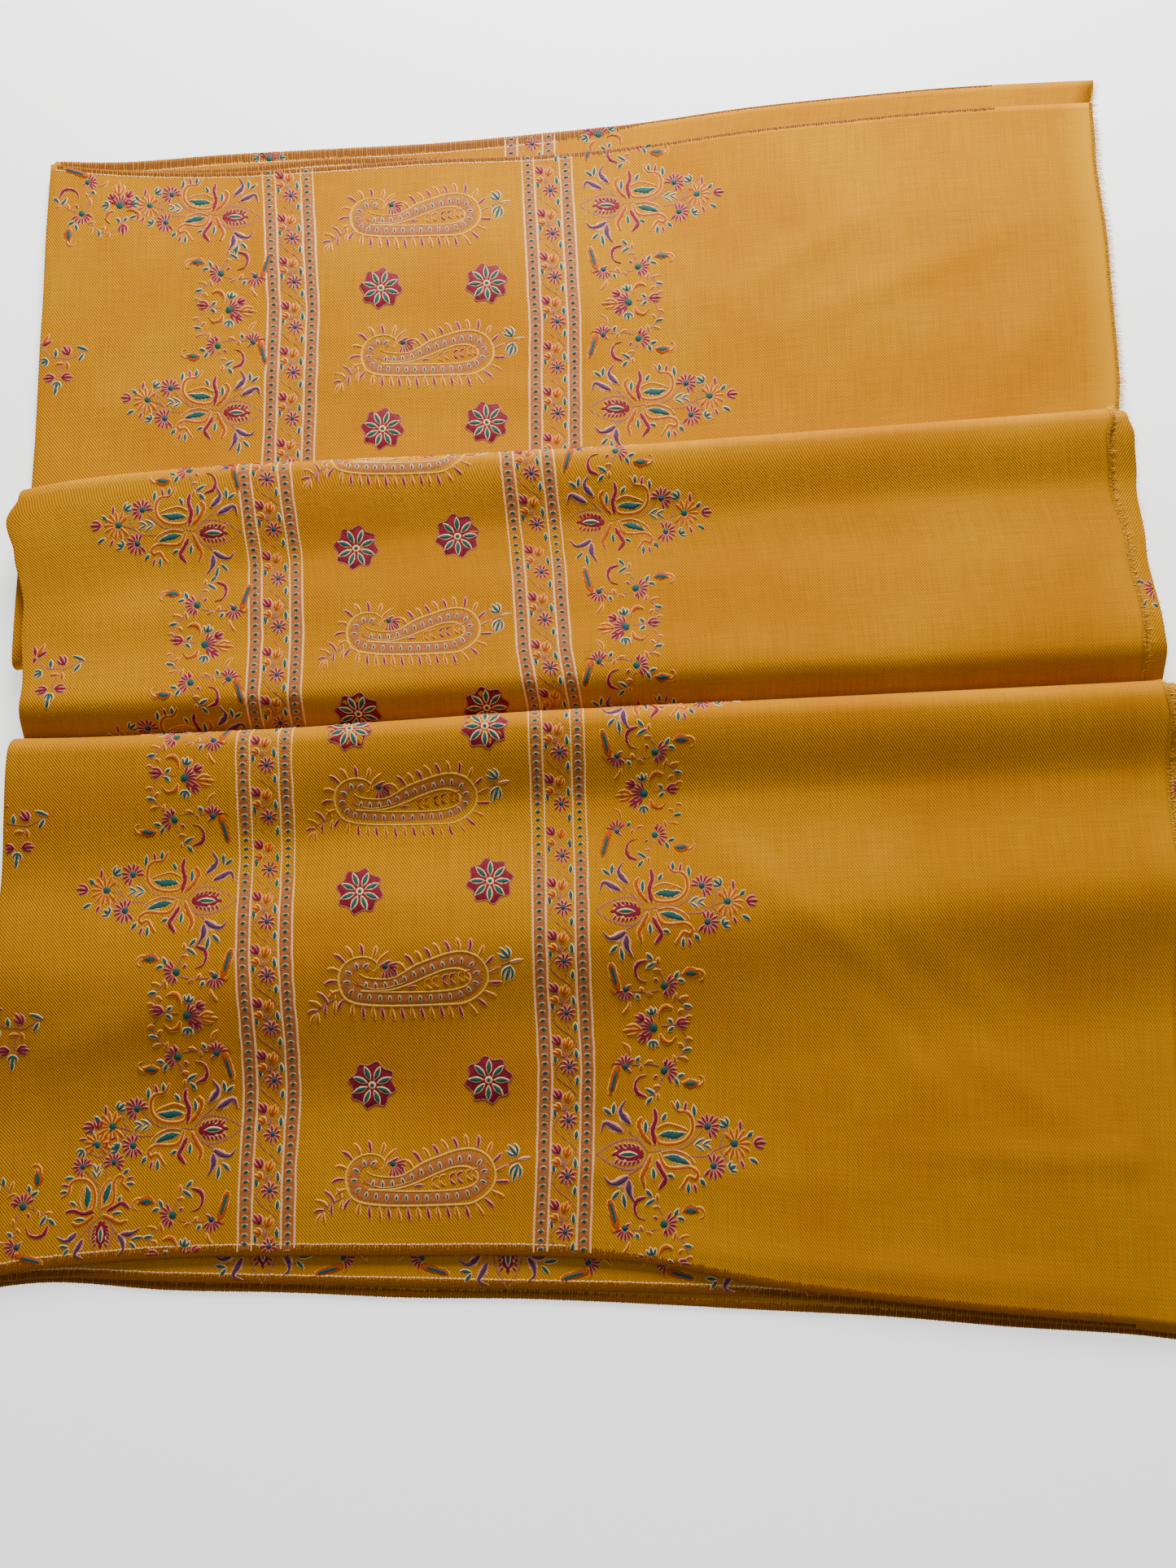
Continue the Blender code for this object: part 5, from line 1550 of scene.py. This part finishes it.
# Frayed yarns: points along one, radius at its root and tip, length that lies on the cloth, how much wider
# apart they are on the lowest layer, and how far they rise
YARN_POINTS = 5
YARN_RADII = (0.15, 0.05)
YARN_ON_CLOTH = 1.6
LOW_SPACING = 1.7
YARN_RISE = 0.4


def frayed_yarns(which, depth, length, pitch, seed):
    """Loose yarns of a raw end, thin tubes along what shows of it. which names the end, raw or raw_low."""
    hand = np.random.default_rng(seed)
    t = np.linspace(0, 1, YARN_POINTS)
    yarns = []
    for stretch, stretch_length in FRINGE_STRETCHES:
        count = int(stretch_length / (pitch if which == "raw" else LOW_SPACING * pitch))
        for share in (np.arange(count) + hand.uniform(0, 1, count)) / count:
            if stretch.startswith("crest"):
                share = CREST_HIDDEN + (1 - CREST_HIDDEN) * share
            x = side(stretch, float(share), which)
            free = stretch == "tier_1" or which == "raw_low"
            long = length * (0.3 + 0.75 * hand.random() ** 0.8)
            long *= 1.0 if free else 0.5 + 1.1 * hand.random() ** 3
            landing = depth + (YARN_RISE if free else LAYER_DEPTHS[1] - LAYER_DEPTHS[0])
            start, end = path_row(
                stretch, float(share), np.array([x - YARN_ON_CLOTH, x + long]), np.array([depth, landing]))
            bent = smooth(1.7 * t - 0.25)
            way = end - start
            yarn = start + np.stack([t * way[0], bent * way[1], bent * way[2]], -1)
            curl = 1.0 if free else 1.7
            yarn[:, 1] += curl * (hand.normal(0, 0.8) * t**1.6
                                  + hand.normal(0, 0.35) * np.sin(hand.uniform(0, 6) + 5 * t) * t)
            ripple = 0.08 * np.sin(9 * t + share * 400)
            yarn[:, 2] += hand.uniform(0.0, 0.15) + t * (hand.uniform(-0.1, 0.2) + ripple)
            yarns.append(yarn)
    yarns = np.array(yarns)
    yarns[..., 2] = np.maximum(yarns[..., 2], 0.2)
    turns = np.arange(3) * math.tau / 3
    ring = np.stack([0 * turns, np.cos(turns), np.sin(turns)], -1)
    radii = np.linspace(*YARN_RADII, len(t))[None, :, None, None]
    points = yarns[:, :, None, :] + ring[None, None] * radii
    k = np.arange((len(t) - 1) * 3)
    row, column = k - k % 3, k % 3
    following = (column + 1) % 3
    pattern = np.stack([row + column, row + following, row + 3 + following, row + 3 + column], -1)
    faces = repeated_faces(pattern, len(yarns), len(t) * 3)
    grain = np.zeros((len(yarns), len(t), 3, 2))
    grain[..., 0] = t[None, :, None] * length
    grain[..., 1] = (np.arange(len(yarns)) * 0.7)[:, None, None]
    return points.reshape(-1, 3), faces, grain.reshape(-1, 2)


def frayed_wool(name, settings):
    """Raveled pashmina yarn of the cloth's own wool, painted lighter than the cloth: painted light that lifts
    the shade the yarns cast on each other, and paler still towards the tips as a painted halo where fibres
    stand off.
    """
    made, tree, shader, place = woolen(name)
    along = node(tree, "ShaderNodeSeparateXYZ", {0: place}).outputs[0]
    outward = node(tree, "ShaderNodeMapRange", {"Value": along, "From Max": 5.0}).outputs[0]
    root, tip = (*settings.yarn_root, 1.0), (*settings.yarn_tip, 1.0)
    mixed = node(tree, "ShaderNodeMix", {0: outward, 6: root, 7: tip}, data_type="RGBA").outputs[2]
    tree.links.new(mixed, shader.inputs["Base Color"])
    shader.inputs["Roughness"].default_value = 0.9
    shader.inputs["Specular IOR Level"].default_value = 0.1
    shader.inputs["Sheen Weight"].default_value = 0.05
    return made


class SHAWL_OT_fringe(bpy.types.Operator):
    """Frays the raw ends of the top and the lowest layer"""

    bl_idname = "shawl.fringe"
    bl_label = "Frayed ends"

    def execute(self, context):
        settings = context.scene.shawl_edges
        length, pitch = in_mm(settings.yarn_length), in_mm(settings.yarn_pitch)
        points, faces, inks, grain = joined([
            (frayed_yarns("raw", LAYER_DEPTHS[0] - YARN_RISE, length, pitch, 91), 0),
            (frayed_yarns("raw_low", LAYER_DEPTHS[3] - YARN_RISE, length, pitch, 92), 0)])
        wool = frayed_wool("raveled mustard pashmina yarn", settings)
        piece = mesh_piece("frayed_ends", points, faces, [wool], inks, grain)
        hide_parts("fringe_far", "fringe_middle", "fringe_near")
        return {"FINISHED"}


class SHAWL_PT_panel(bpy.types.Panel):
    """Lists the steps of making the shawl"""

    bl_idname = "SHAWL_PT_panel"
    bl_label = "Folded shawl"
    bl_space_type = "VIEW_3D"
    bl_region_type = "UI"
    bl_category = "Shawl"

    def draw(self, context):
        for step in STEPS:
            self.layout.operator(step.bl_idname)


STEPS = (SHAWL_OT_studio, SHAWL_OT_cloth, SHAWL_OT_bands, SHAWL_OT_motifs, SHAWL_OT_bouquets,
         SHAWL_OT_borders, SHAWL_OT_edging, SHAWL_OT_fringe)
SETTINGS = {"shawl_cloth": ShawlCloth, "shawl_threads": ShawlThreads, "shawl_edges": ShawlEdges}
CLASSES = (*SETTINGS.values(), *STEPS, SHAWL_PT_panel)


def register():
    """Registers the settings, the steps and the panel."""
    for made in CLASSES:
        bpy.utils.register_class(made)
    for name, group in SETTINGS.items():
        setattr(bpy.types.Scene, name, bpy.props.PointerProperty(type=group))


def unregister():
    """Takes back what register did."""
    for name in SETTINGS:
        delattr(bpy.types.Scene, name)
    for made in reversed(CLASSES):
        bpy.utils.unregister_class(made)


def main():
    """Makes the shawl and its studio step by step."""
    register()
    bpy.ops.shawl.studio()
    bpy.ops.shawl.cloth()
    bpy.ops.shawl.bands()
    bpy.ops.shawl.motifs()
    bpy.ops.shawl.bouquets()
    bpy.ops.shawl.borders()
    bpy.ops.shawl.edging()
    bpy.ops.shawl.fringe()


if __name__ == "__main__":
    main()
